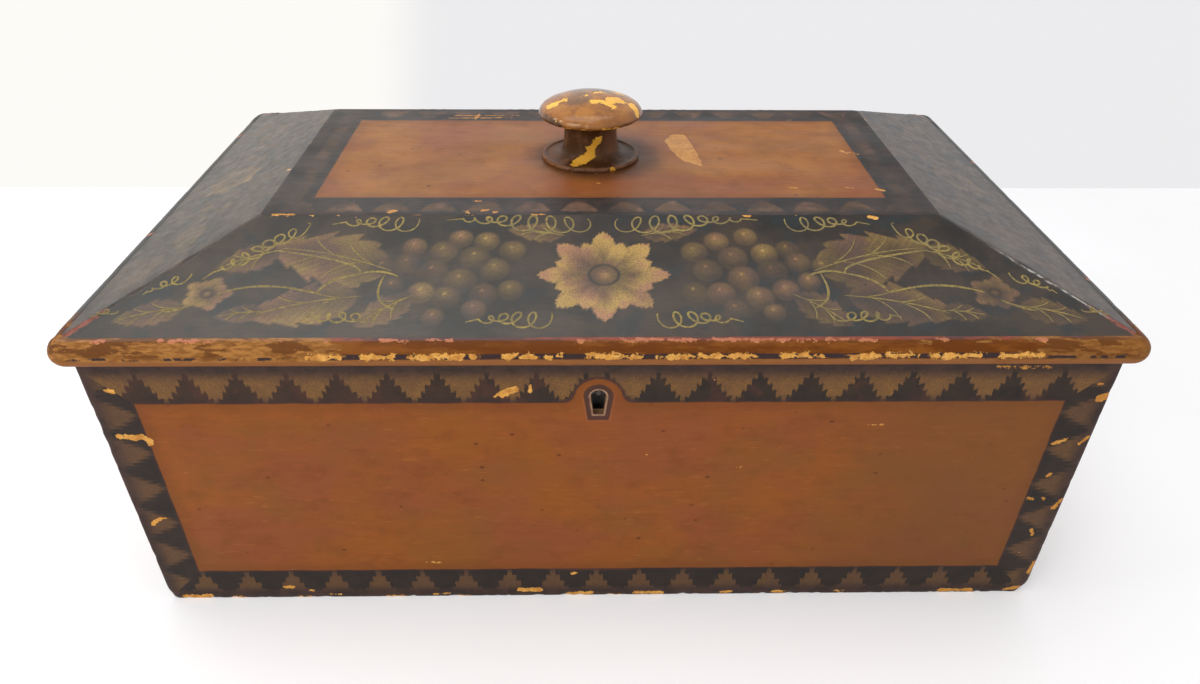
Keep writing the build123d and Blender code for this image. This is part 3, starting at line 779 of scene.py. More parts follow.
def edge_paint(side):
    """The bullnose of the lid: brown over ochre, worn through along a dark line and the arris."""
    shader = Shader("worn_edge_" + side)
    noise, mix = shader.noise, shader.mix
    long_side = side in LONG_SIDES
    axis = 0 if long_side else 1
    stretch = stretched(axis, 3.5)
    u = shader.at[axis]
    streak = noise(1.2, 5, 0.7, stretch, shift=5.0)
    cloud = noise(6.0, 4, 0.65, stretch)
    run = shader.painted("run") + (cloud - 0.5) * 0.9
    low, high = STRIPE_RUN
    brown = mix(cloud.step(0.42, 0.62), NOSE_BROWN, NOSE_LIGHT)
    brown = brown.coat(streak.step(0.5, 0.7) * 0.4, DARK_WEAR_AND_SHADE)
    # Below the dark line the bullnose is lighter mauve: painted reflection on its underside.
    mauve = mix(streak.step(0.4, 0.65) * 0.7, MAUVE, MAUVE_DARK)
    stripe = run.step(low - 0.1, low + 0.2) * run.step(high + 0.2, high - 0.1)
    colour = brown.coat(run.step(low + 0.1, low - 0.3), mauve).coat(stripe, STRIPE_DARK)
    arris = run.step(ARRIS_RUN - 0.4, ARRIS_RUN + 0.4)
    red = (cloud - u.step(30.0, -60.0) * 0.12).step(0.38, 0.5) * (1.0 if side == "front" else 0.25)
    colour = colour.coat(arris * 0.85, mix(red, ARRIS_PURPLE, RED_WEAR))

    blot = noise(3.6, 4, 0.6, stretch, shift=9.0).step(0.5, 0.56) * run.step(8.0, 10.5)
    remains = (run - 9.0).absolute().step(0.75, 0.3)
    remains = remains * noise(5.0, 3, 0.6, shift=19.0).step(0.5, 0.56)
    wood = mix(streak.step(0.4, 0.6), WORN_WOOD, WORN_OCHRE).coat(blot * 0.9, DARK_WEAR_AND_SHADE)
    # The bare wood darkens toward one end of each edge, the right end of the front: painted shade.
    wood = wood.coat(u.step(40.0, 150.0) * 0.35, DARK_WEAR_AND_SHADE).coat(remains, STRIPE_DARK)
    loss = noise(3.0, 5, 0.68, stretch, shift=3.0)
    gone = (loss + shader.painted("rubbed") * 0.34).step(0.62, 0.67)
    colour = colour.coat(gone * run.step(7.4, 8.4), wood)
    if side != "front":
        over = run.step(11.6, 12.8)
        if not long_side:
            over = over * (u + (cloud - 0.5) * 14.0).step(-98.0, -84.0)
        colour = colour.coat(over, SLOPE_BLACK)

    torn = shader.jitter(2.7, 2.2, 5, 0.75, (1.4, 1.4, 1.0), shift=6.0)
    chipped = (shader.painted("bare") + torn).step(0.5, 0.55)
    at_arris = run.step(ARRIS_RUN - 1.6, ARRIS_RUN - 0.4)
    colour = colour.coat(chipped, bare_wood_colour(shader, 2.0).coat(at_arris, SALMON))
    colour, skin = over_pine(shader, colour, shader.painted("skin"), axis, 0.5)
    normal = shader.bump(loss, 0.3)
    normal = shader.bump(skin * (1.0 - gone) * (1.0 - chipped), 0.12, normal)
    rough = gone * 0.15 + (1.0 - skin) * 0.2 + (loss * 0.2 + 0.32)
    if side == "front":
        shine = arris * (0.45 - u.step(-60.0, 60.0) * 0.3) + 0.1
        return shader.finish(colour, rough, normal, shine)
    return shader.finish(colour, rough, normal, over * 0.42 + 0.1, tint=WARM_SHEEN)


def scratches(shader):
    """Fine crossed scratches, 0 to 2."""
    first = shader.noise(0.8, 4, 0.6, (9, 1, 1), shift=31.0).step(0.55, 0.68)
    return first + shader.noise(0.9, 4, 0.6, (1, 7, 1), shift=37.0).step(0.57, 0.7)


def slope_paint(side):
    """Near-black varnish with gold stencilling and a dusty sheen."""
    shader = Shader("painted_slope_" + side)
    noise, (x, y, z) = shader.noise, shader.at
    long_side = side in LONG_SIDES
    cloud = noise(20.0, 4, 0.6).step(0.38, 0.62)
    hue = noise(13.0, 4, 0.6, shift=14.0)
    colour = shader.mix(cloud, SLOPE_BLACK, SLOPE_BROWN)
    colour = colour.coat(hue.step(0.5, 0.66) * (0.8 if long_side else 0.1), SLOPE_TEAL)
    grain = noise(0.5, 3, 0.75, shift=4.0).step(0.25, 0.75)
    gold = shader.painted("gold")
    dust = gold * (grain * 0.9 + 0.4) * (1.0 - x.step(40.0, 100.0) * 0.36)
    colour = colour.coat(dust.least(1.0), shader.mix(hue.step(0.41, 0.6), GOLD, COPPER))

    hip = x.absolute() - y.absolute() - (LID_W - LID_D) / 2
    fray = noise(2.2, 4, 0.7, shift=21.0) - 0.5
    red = (hip.absolute() + fray * 5.0).step(2.0, 0.9) * (z + fray * 9.0).step(117.0, 114.8)
    # A painted highlight: a broken pale line along the middle of the front right hip.
    lit = (hip + fray * 1.6).absolute().step(1.15, 0.4) * fray.step(-0.1, 0.05)
    lit = lit * x.step(104.0, 116.0) * y.step(-40.0, -60.0)
    lit = lit * z.step(114.8, 116.0) * z.step(127.0, 122.5)
    colour = colour.coat(red * 0.8, RED_WEAR).coat(lit, PALE_SCRATCH_AND_HIGHLIGHT)
    if not long_side:
        dusty = noise(8.0, 5, 0.7, (1, 1.25, 1), shift=51.0).step(0.44, 0.62)
        colour = colour.coat(dusty * 0.75, DUSTY_BROWN).coat(scratches(shader) * 0.05, PALE_SCRATCH_AND_HIGHLIGHT)
    chipped = ragged(shader)
    colour = colour.coat(chipped, bare_wood_colour(shader))
    skin = shader.painted("skin")
    colour, skin = over_pine(shader, colour, skin, 0 if long_side else 1, 0.4)

    stretch, relief = ((2.5, 1, 1), 0.14) if long_side else ((1, 1.25, 1), 0.06)
    normal = shader.bump(noise(1.6, 5, 0.65, stretch, shift=8.0), relief)
    normal = shader.bump(skin * (1.0 - chipped) + gold * 0.3, 0.07, normal)
    if long_side:
        haze = noise(13.0, 6, 0.72, (2, 1.6, 1), shift=11.0).step(0.3, 0.7) * 0.2
    else:
        haze = noise(3.6, 6, 0.78, (1.1, 1.2, 1), shift=11.0).step(0.3, 0.7) * 0.13
    gloss = 0.62 - x.step(-90.0, 70.0) * 0.27
    if side == "front":
        gloss = gloss - z.step(116.0, 130.0) * 0.2
    if side == "left":
        gloss = gloss - y.step(20.0, -105.0) * 0.22 - 0.1
    if side == "right":
        gloss = gloss - 0.02
    sheen = WARM_SHEEN if long_side else DUSTY_SHEEN
    return shader.finish(colour, haze + 0.3 + (1.0 - skin) * 0.3, normal, gloss, tint=sheen)


def top_paint():
    """Orange panel in a dark border, with faint mounds stencilled in the border."""
    shader = Shader("painted_top")
    noise, mix, (x, y, _) = shader.noise, shader.mix, shader.at
    edge = (x.absolute() - (PANEL_W / 2 - TOP_BAND)).most((y + 0.2).absolute() - TOP_PANEL_HALF_D)
    panel = (edge + (noise(9.0, 2, 0.5) - 0.5) * 0.5).step(0.3, -0.3)
    orange, relief = orange_paint(shader, 0, TOP_ORANGE)
    dirt = (edge + noise(6.0, 4, 0.7) * 6.0).step(-3.0, 3.0)
    # A dark ring round the knob's foot, reaching further to the right: a dark stain together with painted
    # shadow of the knob.
    away = distance(x - KNOB[0] - 3.0, y - KNOB[1]) + shader.jitter(6.0, 5.0, 4, 0.7, shift=2.0)
    orange = orange.coat(dirt * 0.45, ORANGE_DARK).coat(away.step(29.0, 18.5) * 0.8, KNOB_DARK)

    row = ((x / MOUND).fraction() - 0.5).absolute() * MOUND
    rise = 11.5 - edge + shader.jitter(4.0, 4.0, 4, 0.6, shift=22.0)
    hump = (8.0 - row * row * 0.2 - rise).step(-1.2, 1.2) * rise.step(-1.0, 1.0)
    faint = noise(14.0, 3, 0.6, shift=26.0).step(0.35, 0.65) * 0.6 + 0.15
    faint = hump * noise(0.8, 3, 0.7) * faint * (1.0 - x.absolute().step(96.0, 100.0) * 0.5)
    tint = mix(noise(11.0, 2, 0.5, shift=27.0).step(0.5, 0.6), BAND_GOLD, COPPER)
    border = mix(noise(8.0, 4, 0.6).step(0.4, 0.6) * 0.5, SOOT, PURPLE_BROWN).coat(faint, tint)

    chipped = ragged(shader)
    mottle = noise(2.6, 4, 0.7, shift=24.0).step(0.5, 0.6)
    ochre = bare_wood_colour(shader).coat(0.45, OCHRE_DIRT_AND_SHADE).coat(mottle * 0.5, TOP_ORANGE)
    colour = border.coat(panel, orange).coat(chipped, ochre)
    colour, skin = over_pine(shader, colour, shader.painted("skin"), 0, 0.4)
    normal = shader.bump(skin * (1.0 - chipped), 0.1, shader.bump(relief, 0.1))
    haze = noise(16.0, 5, 0.65, (3, 1, 1), shift=11.0).step(0.3, 0.7)
    rough = haze * 0.16 + 0.34 + (1.0 - skin) * 0.3
    return shader.finish(colour, rough, normal, gloss=0.31 - x.step(-10.0, 110.0) * 0.17)


def knob_paint():
    """Brown varnish, tan on the cap and nearly black on the stem, over yellow ground."""
    shader = Shader("painted_knob")
    noise, mix, (x, y, z) = shader.noise, shader.mix, shader.at
    kx, ky, height = x - KNOB[0], y - KNOB[1], z - PANEL_Z
    cloud = noise(6.0, 4, 0.65)
    patch = noise(9.0, 4, 0.6, shift=5.0)
    crown = (y + (patch - 0.5) * 14.0).step(-1.0, 3.0)
    crown = crown * (kx.absolute() + (cloud - 0.5) * 10.0).step(9.0, 6.0)
    dirt = (distance(x + 8.5, y + 4.5) + (patch - 0.5) * 12.0).step(5.5, 3.0)
    rim = (height + (patch - 0.5) * 2.0).step(18.6, 17.0) * cloud.step(0.4, 0.55)
    cap = mix(cloud.step(0.4, 0.62), KNOB_TAN, KNOB_BROWN)
    cap = cap.coat(crown * 0.85, KNOB_GREY).coat(dirt * 0.5, KNOB_GREY)
    cap = cap.coat(height.step(21.6, 19.2) * 0.6, KNOB_BROWN).coat(rim, WORN_WOOD)

    bead = distance(kx, ky).step(16.4, 17.2) * cloud.step(0.35, 0.6)
    lit = kx.step(2.0, 8.0) * height.step(2.5, 5.0)
    left = kx.step(-9.0, -15.0) * height.step(5.0, 3.0)
    stem = mix(cloud.step(0.45, 0.7), KNOB_DARK, STEM_BROWN).coat(bead, BEAD_BROWN)
    stem = stem.coat(lit * 0.75, STEM_LIT).coat(left * 0.55, FLANGE_RED)
    wave = height + shader.jitter(3.6, 4.0, 4, 0.65, shift=2.0)
    # The stem's dark reaches up onto the cap's rim at the left and the right: painted shade under the cap.
    wave = wave - kx.step(-7.0, -13.0) * 3.2 - kx.step(7.0, 13.0) * 1.7
    colour = stem.coat(wave.step(15.2, 16.6), cap)

    chipped = ragged(shader, 2.2, 3.2, 5, 0.7)
    yellow = mix(patch.step(0.45, 0.7) * 0.6, KNOB_YELLOW, OCHRE)
    yellow = yellow.coat(height.step(12.0, 9.0) * 0.75, STEM_YELLOW)
    colour = colour.coat(chipped, yellow).coat(height.step(-0.05, -0.2), PINE_DARK)
    normal = shader.bump(noise(1.5, 4, 0.6, (1, 1, 0.4), shift=6.0), 0.06)
    normal = shader.bump(1.0 - chipped, 0.15, normal)
    shine = height.step(14.0, 17.0)
    rough = chipped * 0.25 + cloud * 0.1 + 0.3 - shine * 0.22
    return shader.finish(colour, rough, normal, gloss=0.14 + shine * 0.42, tint=KNOB_SHEEN)


# ------------------------------------------------------------------ the case

def case_corner(corner, inset, height):
    """Plan radius at a corner of the case: the lower corners are knocked round."""
    foot = {(-1, -1): 2.2, (1, -1): 3.2, (-1, 1): 2.6, (1, 1): 3.6}[tuple(map(int, corner))]
    return CORNER_R + foot * float(soft(np.array(6.0 - height), 0.0, 6.0))


def case_wear(points):
    """How deep knocks have gone into the upright and lower arrises."""
    x, y, z = np.abs(points[:, 0]), np.abs(points[:, 1]), points[:, 2]
    lean = (CASE_H - z) * CANT
    to_corner = (CASE_W / 2 - lean - x) + (CASE_D / 2 - lean - y)
    bite = soft(lump(points, 5.0), 0.1, 0.7) * 0.5 + soft(lump(points, 2.2, 7.0), 0.2, 0.7) * 0.35
    return (soft(-to_corner, -3.2, -0.4) * 0.5 + soft(-z, -2.2, 0.0) * 0.9) * bite


# Paint losses of the front: a radius, and the path as places along and up
FRONT_CHIPS = (
    (0.9, -151.6, 93.4, -149.6, 93.0), (0.6, -33.8, 90.6, -31.0, 91.4),
    (1.05, -152.6, 75.2, -147.6, 74.7, -145.4, 75.2, -143.2, 73.4, -143.6, 72.2),
    (0.65, -151.0, 36.6, -150.2, 38.0, -148.0, 39.4, -146.0, 39.5),
    (1.35, -31.6, 91.4, -27.5, 93.2), (0.6, -22.9, 92.2, -22.7, 94.6),
    (0.4, 8.3, 97.1, 8.5, 98.3), (0.3, -41.9, 60.4, -40.7, 59.4),
    (0.36, -61.4, 17.9, -54.0, 17.1), (0.3, 13.6, 66.8, 14.6, 66.2),
    (0.28, 43.0, 60.9, 45.8, 61.3), (0.26, 83.6, 78.6, 88.6, 78.4),
    (0.42, 32.2, 96.9, 33.6, 96.5), (0.5, 120.0, 101.3, 137.0, 101.1),
    (1.5, 157.0, 89.8, 155.2, 88.8), (0.6, 153.2, 94.8, 154.6, 94.6),
    (0.9, 155.9, 73.2, 154.2, 70.6), (0.8, 149.2, 72.2, 145.4, 70.6),
    (0.6, 147.0, 56.4, 147.9, 57.6), (0.7, 143.4, 46.5, 145.0, 45.9),
    (0.85, 153.0, 41.8, 154.7, 45.2), (0.6, 147.4, 47.0, 148.6, 46.0),
    (0.8, 148.2, 31.6, 149.0, 29.2), (0.7, 153.2, 15.6, 152.4, 10.4),
    (0.9, 151.0, 2.6, 146.0, 1.6), (0.5, 146.2, 21.0, 147.4, 20.2),
    (1.0, -29.5, 3.4, -22.0, 3.2), (0.5, -10.6, 11.4, -8.6, 11.7),
    (1.0, -12.0, 0.9, -4.0, 1.2), (1.1, -148.0, 1.2, -139.0, 1.0),
    (0.7, -112.0, 5.6, -109.4, 5.7), (0.6, -104.2, 3.4, -101.6, 3.6),
    (0.6, -97.0, 1.8, -93.0, 1.6), (0.7, -60.0, 1.2, -54.0, 1.4),
    (0.8, 12.0, 1.3, 22.0, 1.2), (0.7, 43.0, 1.2, 47.0, 1.4),
    (0.7, 62.0, 1.4, 66.0, 1.2), (0.6, 84.0, 1.2, 88.0, 1.4), (0.9, 122.0, 1.3, 134.0, 1.2),
)


def scattered(seed, count, width, low, high):
    """Random small paint losses along a wall, for the sides that the photograph doesn't show."""
    random = np.random.default_rng(seed)
    strokes = []
    for _ in range(count):
        u, z = random.uniform(-width, width), random.uniform(low, high)
        du, dz = random.normal(0, 1.6), random.normal(0, 0.7)
        strokes.append((random.uniform(0.4, 1.0), u, z, u + du, z + dz))
    return strokes


def wall_chips(side):
    if side == "front":
        return FRONT_CHIPS
    half = (CASE_W if side == "back" else CASE_D) / 2
    seed = SIDES.index(side)
    near_edges = scattered(seed, 12, half - 6.0, 89.0, 102.0)
    near_edges += scattered(seed + 10, 12, half - 10.0, 1.0, 12.0)
    return near_edges + scattered(seed + 20, 5, half - 12.0, 15.0, 86.0)


def into_face(shape, depth):
    """A keyhole-shaped prism from just in front of the leaning face to depth behind it."""
    head, foot, drop = shape
    start = math.atan2(-drop, foot) + math.acos(head / math.hypot(foot, drop))
    turns = np.linspace(start, math.pi - start, 20)
    outline = [(-foot, -drop), (foot, -drop)]
    outline += [(head * math.cos(t), head * math.sin(t)) for t in turns]
    lean = math.atan(CANT)
    face_y = -CASE_D / 2 + (CASE_H - KEYHOLE_Z) * CANT
    out = np.array([0, -math.cos(lean), -math.sin(lean)])
    up = np.array([0, -math.sin(lean), math.cos(lean)])
    spots = [np.array([LOCK_X + a, face_y, KEYHOLE_Z]) + b * up for a, b in outline]
    return prism(spots, out * OVERCUT, -out * depth)


def front_cuts():
    """The pockets of the lock's plate, selvedge and case, the seat of the rim, the keyhole."""
    inner = -CASE_D / 2 + WALL + CASE_H * CANT + OVERCUT
    top, shelf, behind = CASE_H + OVERCUT, CASE_H - SEAT, PLATE_Y + OVERCUT
    return [
        block(LOCK_X, PLATE_HALF, PLATE_Y, inner, PLATE_LOW, top),
        block(LOCK_X, PLATE_HALF, LOCK_CASE_Y, behind, shelf, top),
        block(LOCK_X, LOCK_CASE_HALF, LOCK_CASE_Y, behind - 0.5, LOCK_CASE_LOW, top - 0.5),
        into_face(RIM_SEAT, RIM_DEPTH),
        into_face(KEYHOLE, KEYHOLE_DEPTH),
    ]


def hinge_cuts(z0, z1):
    """The seats of both hinges' leaves and knuckles."""
    parts = []
    for x in (-HINGE_X, HINGE_X):
        parts.append(block(x, HINGE_HALF, LEAF_Y, CASE_D / 2 + OVERCUT, z0, z1))
        knuckle = [(x, CASE_D / 2 + a, CASE_H + b) for a, b in circle(KNUCKLE_SEAT_R, 48)]
        reach = (HINGE_HALF + KNUCKLE_PLAY, 0, 0)
        parts.append(prism(knuckle, np.negative(reach), reach))
    return parts


def on_wall(sign):
    """Which points are on the painted face of the front (-1) or the back (1)."""
    return lambda p: p[:, 1] * sign > CASE_D / 2 - (CASE_H - p[:, 2]) * CANT - 0.06


def case_board(side):
    step = {"front": 1.0, "back": 1.6}.get(side, 1.4)
    lean = CASE_H * CANT
    outer = [(lean + ARRIS, 0.0), (lean + 0.18, 0.18), (lean, ARRIS)]
    outer += [((CASE_H - z) * CANT, z) for z in np.arange(ARRIS + step, CASE_H - 0.9, step)]
    outer += [(0.4 * CANT, CASE_H - 0.4), (0.12, CASE_H - 0.12), (0.4, CASE_H)]
    inner = [(1.2, CASE_H), (WALL, CASE_H), (WALL + (CASE_H - BOTTOM_T) * CANT, BOTTOM_T)]
    inner += [(lean + REBATE, BOTTOM_T), (lean + REBATE, 0.0)]
    half = (CASE_W / 2, CASE_D / 2)
    points, faces, skin, worn, place, _ = ring_board(
        side, outer, inner, half, step, case_corner, case_wear
    )
    spots = np.stack([place, points[:, 2]], axis=1)
    low = soft(-points[:, 2], -3.0, -0.3) * (0.33 + 0.5 * lump(points, 9.0, 3.0))
    bare = np.maximum(low, soft(worn, 0.12, 0.5) * 0.72)
    bare = np.maximum(chips(spots, wall_chips(side)), bare) * skin
    name = side if side in LONG_SIDES else side + "_end"
    mesh = make_mesh(name + "_wall", points, faces, skin=skin, bare=bare)
    if side == "front":
        mesh = cut(mesh, front_cuts(), on_wall(-1))
    if side == "back":
        mesh = cut(mesh, hinge_cuts(CASE_H - SEAT, CASE_H + OVERCUT), on_wall(1))
    add_piece(name + "_wall", mesh, "case", "painted_case", case_paint(side), name + "_board")


# ------------------------------------------------------------------ the lid's edge

def edge_corner(corner, inset, height):
    return max(LID_CORNER_R - inset, 0.0)


def edge_wear(points):
    """Knocks in the bullnose, deeper at the corners."""
    x, y = np.abs(points[:, 0]), np.abs(points[:, 1])
    corner = soft((x - LID_W / 2) + (y - LID_D / 2), -30.0, -3.0)
    level = soft(-np.abs(points[:, 2] - 109.5), -4.6, -1.0)
    bite = soft(lump(points, 7.0, 2.0), 0.0, 0.7) * 0.35
    bite += soft(lump(points, 2.4, 5.0), 0.1, 0.6) * 0.15
    return level * (0.5 + 0.8 * corner) * bite


# Where the front edge has lost paint, from place to place along it
STRIPE_CHIPS = (
    (-88.0, -77.6), (-71.5, -62.5), (-57.0, -42.0), (-40.0, -37.5), (-30.0, -20.8), (-17.0, -15.9),
    (-14.4, -13.0), (-5.2, 10.6), (15.0, 16.0), (18.4, 24.6), (26.0, 34.0), (37.0, 44.0),
    (52.0, 56.5), (58.0, 63.6), (72.8, 81.2), (83.0, 92.8), (96.5, 98.8), (100.0, 111.5),
    (117.0, 130.0),
)
ARRIS_CHIPS = (
    (-150.0, -146.0), (-131.0, -115.0), (-100.5, -95.5), (-84.0, -82.0), (-65.5, -57.5),
    (-53.5, -45.5), (-8.5, -6.5), (3.5, 7.5), (9.0, 28.0), (30.0, 62.0), (66.0, 80.0),
    (98.0, 101.0), (127.0, 131.0),
)


def edge_chips(side, spots):
    """Paint losses of a lid edge, along its dark line and along its arris."""
    stripe, arris = STRIPE_CHIPS, ARRIS_CHIPS
    if side != "front":
        random = np.random.default_rng(SIDES.index(side) + 60)
        reach = (LID_W if side == "back" else LID_D) / 2 - 8
        starts = np.arange(-reach, reach, 21.0)
        stripe = [(a, a + random.uniform(1, 10)) for a in starts + random.uniform(0, 6, len(starts))]
        arris = [(a, a + random.uniform(0.5, 3)) for a in starts[1::5] + random.uniform(0, 12)]
    middle = sum(STRIPE_RUN) / 2
    strokes = [(0.9, a + 0.4, middle, b - 0.4, middle) for a, b in stripe]
    strokes += [(0.55, a, ARRIS_RUN + 0.3, b, ARRIS_RUN - 0.1) for a, b in arris]
    return chips(spots, strokes)


def edge_rubbed(side, place, run, points):
    """How far the brown has rubbed off a lid edge: most at the ends."""
    if side == "front":
        rubbed = np.where(place > 0, soft(place, 105.0, 135.0) * 0.8, soft(-place, 72.0, 90.0) * 1.15)
    else:
        half = (LID_W if side == "back" else LID_D) / 2
        rubbed = soft(np.abs(place) - half, -50.0, -10.0) * 0.6
    top = soft(run, 11.5, 14.5)
    return np.clip(rubbed * (1 - 0.3 * top) + 0.14 * lump(points, 12.0, 8.0), 0, 1.2)


def lid_edge(side):
    outer = [(6.5, CASE_H)]
    outer += arc((NOSE_R, CASE_H + NOSE_R), NOSE_R, -90, -180, 13)
    outer += arc((NOSE_R, EDGE_TOP - NOSE_R), NOSE_R, 180, 90, 13)
    outer += [(4.6, EDGE_TOP)]
    inner = [(HOLLOW, EDGE_TOP), (HOLLOW, CASE_H)]
    half = (LID_W / 2, LID_D / 2)
    points, faces, skin, _, place, run = ring_board(
        side, outer, inner, half, 1.2, edge_corner, edge_wear
    )
    bare = edge_chips(side, np.stack([place, run], axis=1)) * skin
    rubbed = edge_rubbed(side, place, run, points) * skin
    name = "lid_nose_" + side
    mesh = make_mesh(name, points, faces, skin=skin, bare=bare, rubbed=rubbed, run=run)
    heights = (CASE_H - OVERCUT, CASE_H + SEAT)
    cuts = {
        "front": [block(LOCK_X, LINK_HALF, LINK_Y0, LINK_Y1, *heights)],
        "back": hinge_cuts(*heights),
    }
    if side in cuts:
        mesh = cut(mesh, cuts[side], lambda p: np.abs(p[:, 1]) > LID_D / 2 - 1.0)
    add_piece(name, mesh, "lid", "worn_edge", edge_paint(side), "lid_edge_" + side)


# ------------------------------------------------------------------ the lid's slopes

def petal_flower(u, v, centre, size, petals, level):
    """A flower of pointed petals in two rounds, brightest at their tips, with a dark heart."""
    du, dv = u - centre[0], (v - centre[1]) * 1.12
    r, t = np.hypot(du, dv), np.arctan2(dv, du)
    gold, inside = np.zeros(len(u)), np.zeros(len(u))
    for turn, reach in ((0.5, 1.0), (0.0, 0.8)):
        phase = (t * petals / (2 * np.pi) + turn) % 1.0 - 0.5
        rim = size * reach * (1 - 0.5 * np.abs(phase * 2) ** 1.6)
        rim = rim * (1 - 0.05 * ((np.abs(phase) * 14.0) % 1.0))
        cover = soft(rim - r, -0.3, 0.4)
        shade = 0.3 + 0.75 * soft(r / rim, 0.3, 0.95) * soft(-np.abs(phase), -0.5, -0.1)
        gold = gold * (1 - cover) + shade * cover
        inside = np.maximum(inside, cover)
    heart = soft(size * 0.2 - r, -0.4, 0.4)
    gold = gold * (1 - heart) + heart * (0.25 + 0.5 * soft(-r, -size * 0.16, 0.0))
    ring = soft(np.abs(r - size * 0.22), 0.2, 0.8)
    return inside, level * gold * ring


def leaf(u, v, centre, angle, length, width, level):
    """A pointed leaf with a toothed margin, fading toward its stalk and lighter along one side."""
    a = math.radians(angle)
    du, dv = u - centre[0], v - centre[1]
    s = (du * math.cos(a) + dv * math.sin(a)) / length + 0.5
    t = -du * math.sin(a) + dv * math.cos(a)
    body = np.sin(np.pi * np.clip(s, 0, 1) ** 0.7) ** 0.8
    tooth = (s * 5.0 + np.abs(t) / width * 0.8) % 1.0
    rim = width / 2 * body * (1 - 0.26 * tooth)
    inside = soft(rim - np.abs(t), -0.3, 0.4) * (s > 0) * (s < 1)
    hatch = 0.88 + 0.12 * np.cos((s * length * 0.8 - np.abs(t) * 0.9) * 2.6)
    margin = soft(np.abs(t) / np.maximum(rim, 0.5), 0.2, 1.0)
    shade = 0.35 + 0.35 * margin + 0.3 * soft(t / width, -0.4, 0.4)
    return inside, level * (shade * (0.55 + 0.45 * soft(s, 0.0, 0.6))) * hatch


def berry(u, v, centre, size, level):
    """A soft round berry, lit from above, with a small bright spot."""
    du, dv = u - centre[0], v - centre[1]
    r = np.hypot(du, dv)
    inside = soft(size - r, -0.3, 1.0)
    glow = soft(-np.hypot(du, dv - size * 0.3), -size * 1.2, 0.0)
    edge = soft(np.abs(r - size + 0.8), 0.9, 0.0) * 0.1
    dot = soft(-np.hypot(du + size * 0.1, dv - size * 0.35), -0.8, -0.25)
    return inside, level * (0.1 + 0.75 * glow + edge) + dot * 0.6


# Half of a long slope's garland, each shape's place along and up first. A leaf then has an angle,
# a length, a width and how gold it is; a berry has a radius
LEAVES = (
    (87, 32, 14, 40, 25, 0.86), (92, 12, -14, 34, 18, 0.8), (67, 10, -38, 20, 12, 0.6),
    (112, 31, -24, 20, 13, 0.6), (137, 9, -16, 20, 11, 0.65), (110, 9, -8, 14, 8, 0.45),
    (22, 43, 8, 18, 9, 0.7),
)
BERRIES = (
    (29, 34, 4.6), (37, 39, 4.4), (46, 40, 4.2), (33, 26, 5.0), (41, 32, 5.2), (51, 34, 4.8),
    (60, 36, 4.2), (28, 18, 4.4), (36, 17, 4.8), (44, 23, 5.4), (54, 26, 5.2), (62, 29, 4.4),
    (40, 10, 4.2), (48, 15, 4.8), (57, 18, 4.6), (65, 21, 4.0), (52, 8, 3.8), (70, 28, 3.8),
)
SIDE_LEAVES = ((52, 23, 14, 24, 13, 0.38), (70, 13, -14, 22, 10, 0.38))
SIDE_BERRIES = ((19, 27, 4.2), (25, 19, 4.6), (31, 28, 4.2), (36, 20, 4.0))


def leaf_shapes(leaves, sign):
    return [
        (leaf, ((sign * du, dv), angle if sign > 0 else 180 - angle, length, width, level))
        for du, dv, angle, length, width, level in leaves
    ]


def garland():
    """The stencilled shapes of one long slope, the same on both sides of its middle."""
    shapes = []
    for sign in (-1, 1):
        random = np.random.default_rng(7 if sign > 0 else 11)
        shapes += leaf_shapes(LEAVES, sign)
        for du, dv, size in BERRIES:
            spot = (sign * du + random.normal(0, 0.6), dv + random.normal(0, 0.6))
            shapes.append((berry, (spot, size, random.uniform(0.22, 0.85))))
        shapes.append((petal_flower, ((sign * 121, 17), 8.0, 5, 0.75)))
    shapes.append((petal_flower, ((0.0, 24.5), 21.0, 8, 1.35)))
    return shapes


def side_garland():
    shapes = [(petal_flower, ((0.0, 22.0), 14.0, 7, 0.45))]
    for sign in (-1, 1):
        shapes += [(berry, ((sign * du, dv), size, 0.3)) for du, dv, size in SIDE_BERRIES]
        shapes += leaf_shapes(SIDE_LEAVES, sign)
    return shapes


def stencil(u, v, shapes, points):
    """How gold each point of a slope is."""
    gold = np.zeros(len(u))
    for draw, facts in shapes:
        inside, level = draw(u, v, *facts)
        gold = gold * (1 - inside) + np.clip(level, 0, 1.5) * inside
    worn = 0.72 + 0.4 * lump(points, 9.0, 1.0)
    return np.clip(gold * worn, 0, 1.08)


def slope_corner(corner, inset, height):
    return HIP_R


def slope_wear(points):
    """Small knocks along the hips and the upper arris."""
    x, y = LID_W / 2 - np.abs(points[:, 0]), LID_D / 2 - np.abs(points[:, 1])
    hip = soft(-np.abs(x - y), -4.0, 0.0)
    crest = soft(-np.abs(points[:, 2] - PANEL_Z), -1.0, 0.0)
    bite = soft(lump(points, 4.0, 9.0), 0.05, 0.6) * 0.3
    bite += soft(lump(points, 1.6, 3.0), 0.2, 0.6) * 0.2
    return hip * bite + crest * 0.06


# Paint losses along the front slope's upper arris: a place and a length
CREST_CHIPS = ((-108.3, 6.7), (-95.8, 1.0), (-87.5, 1.4), (-45.4, 2.0), (-23.3, 3.7), (63.0, 1.6))


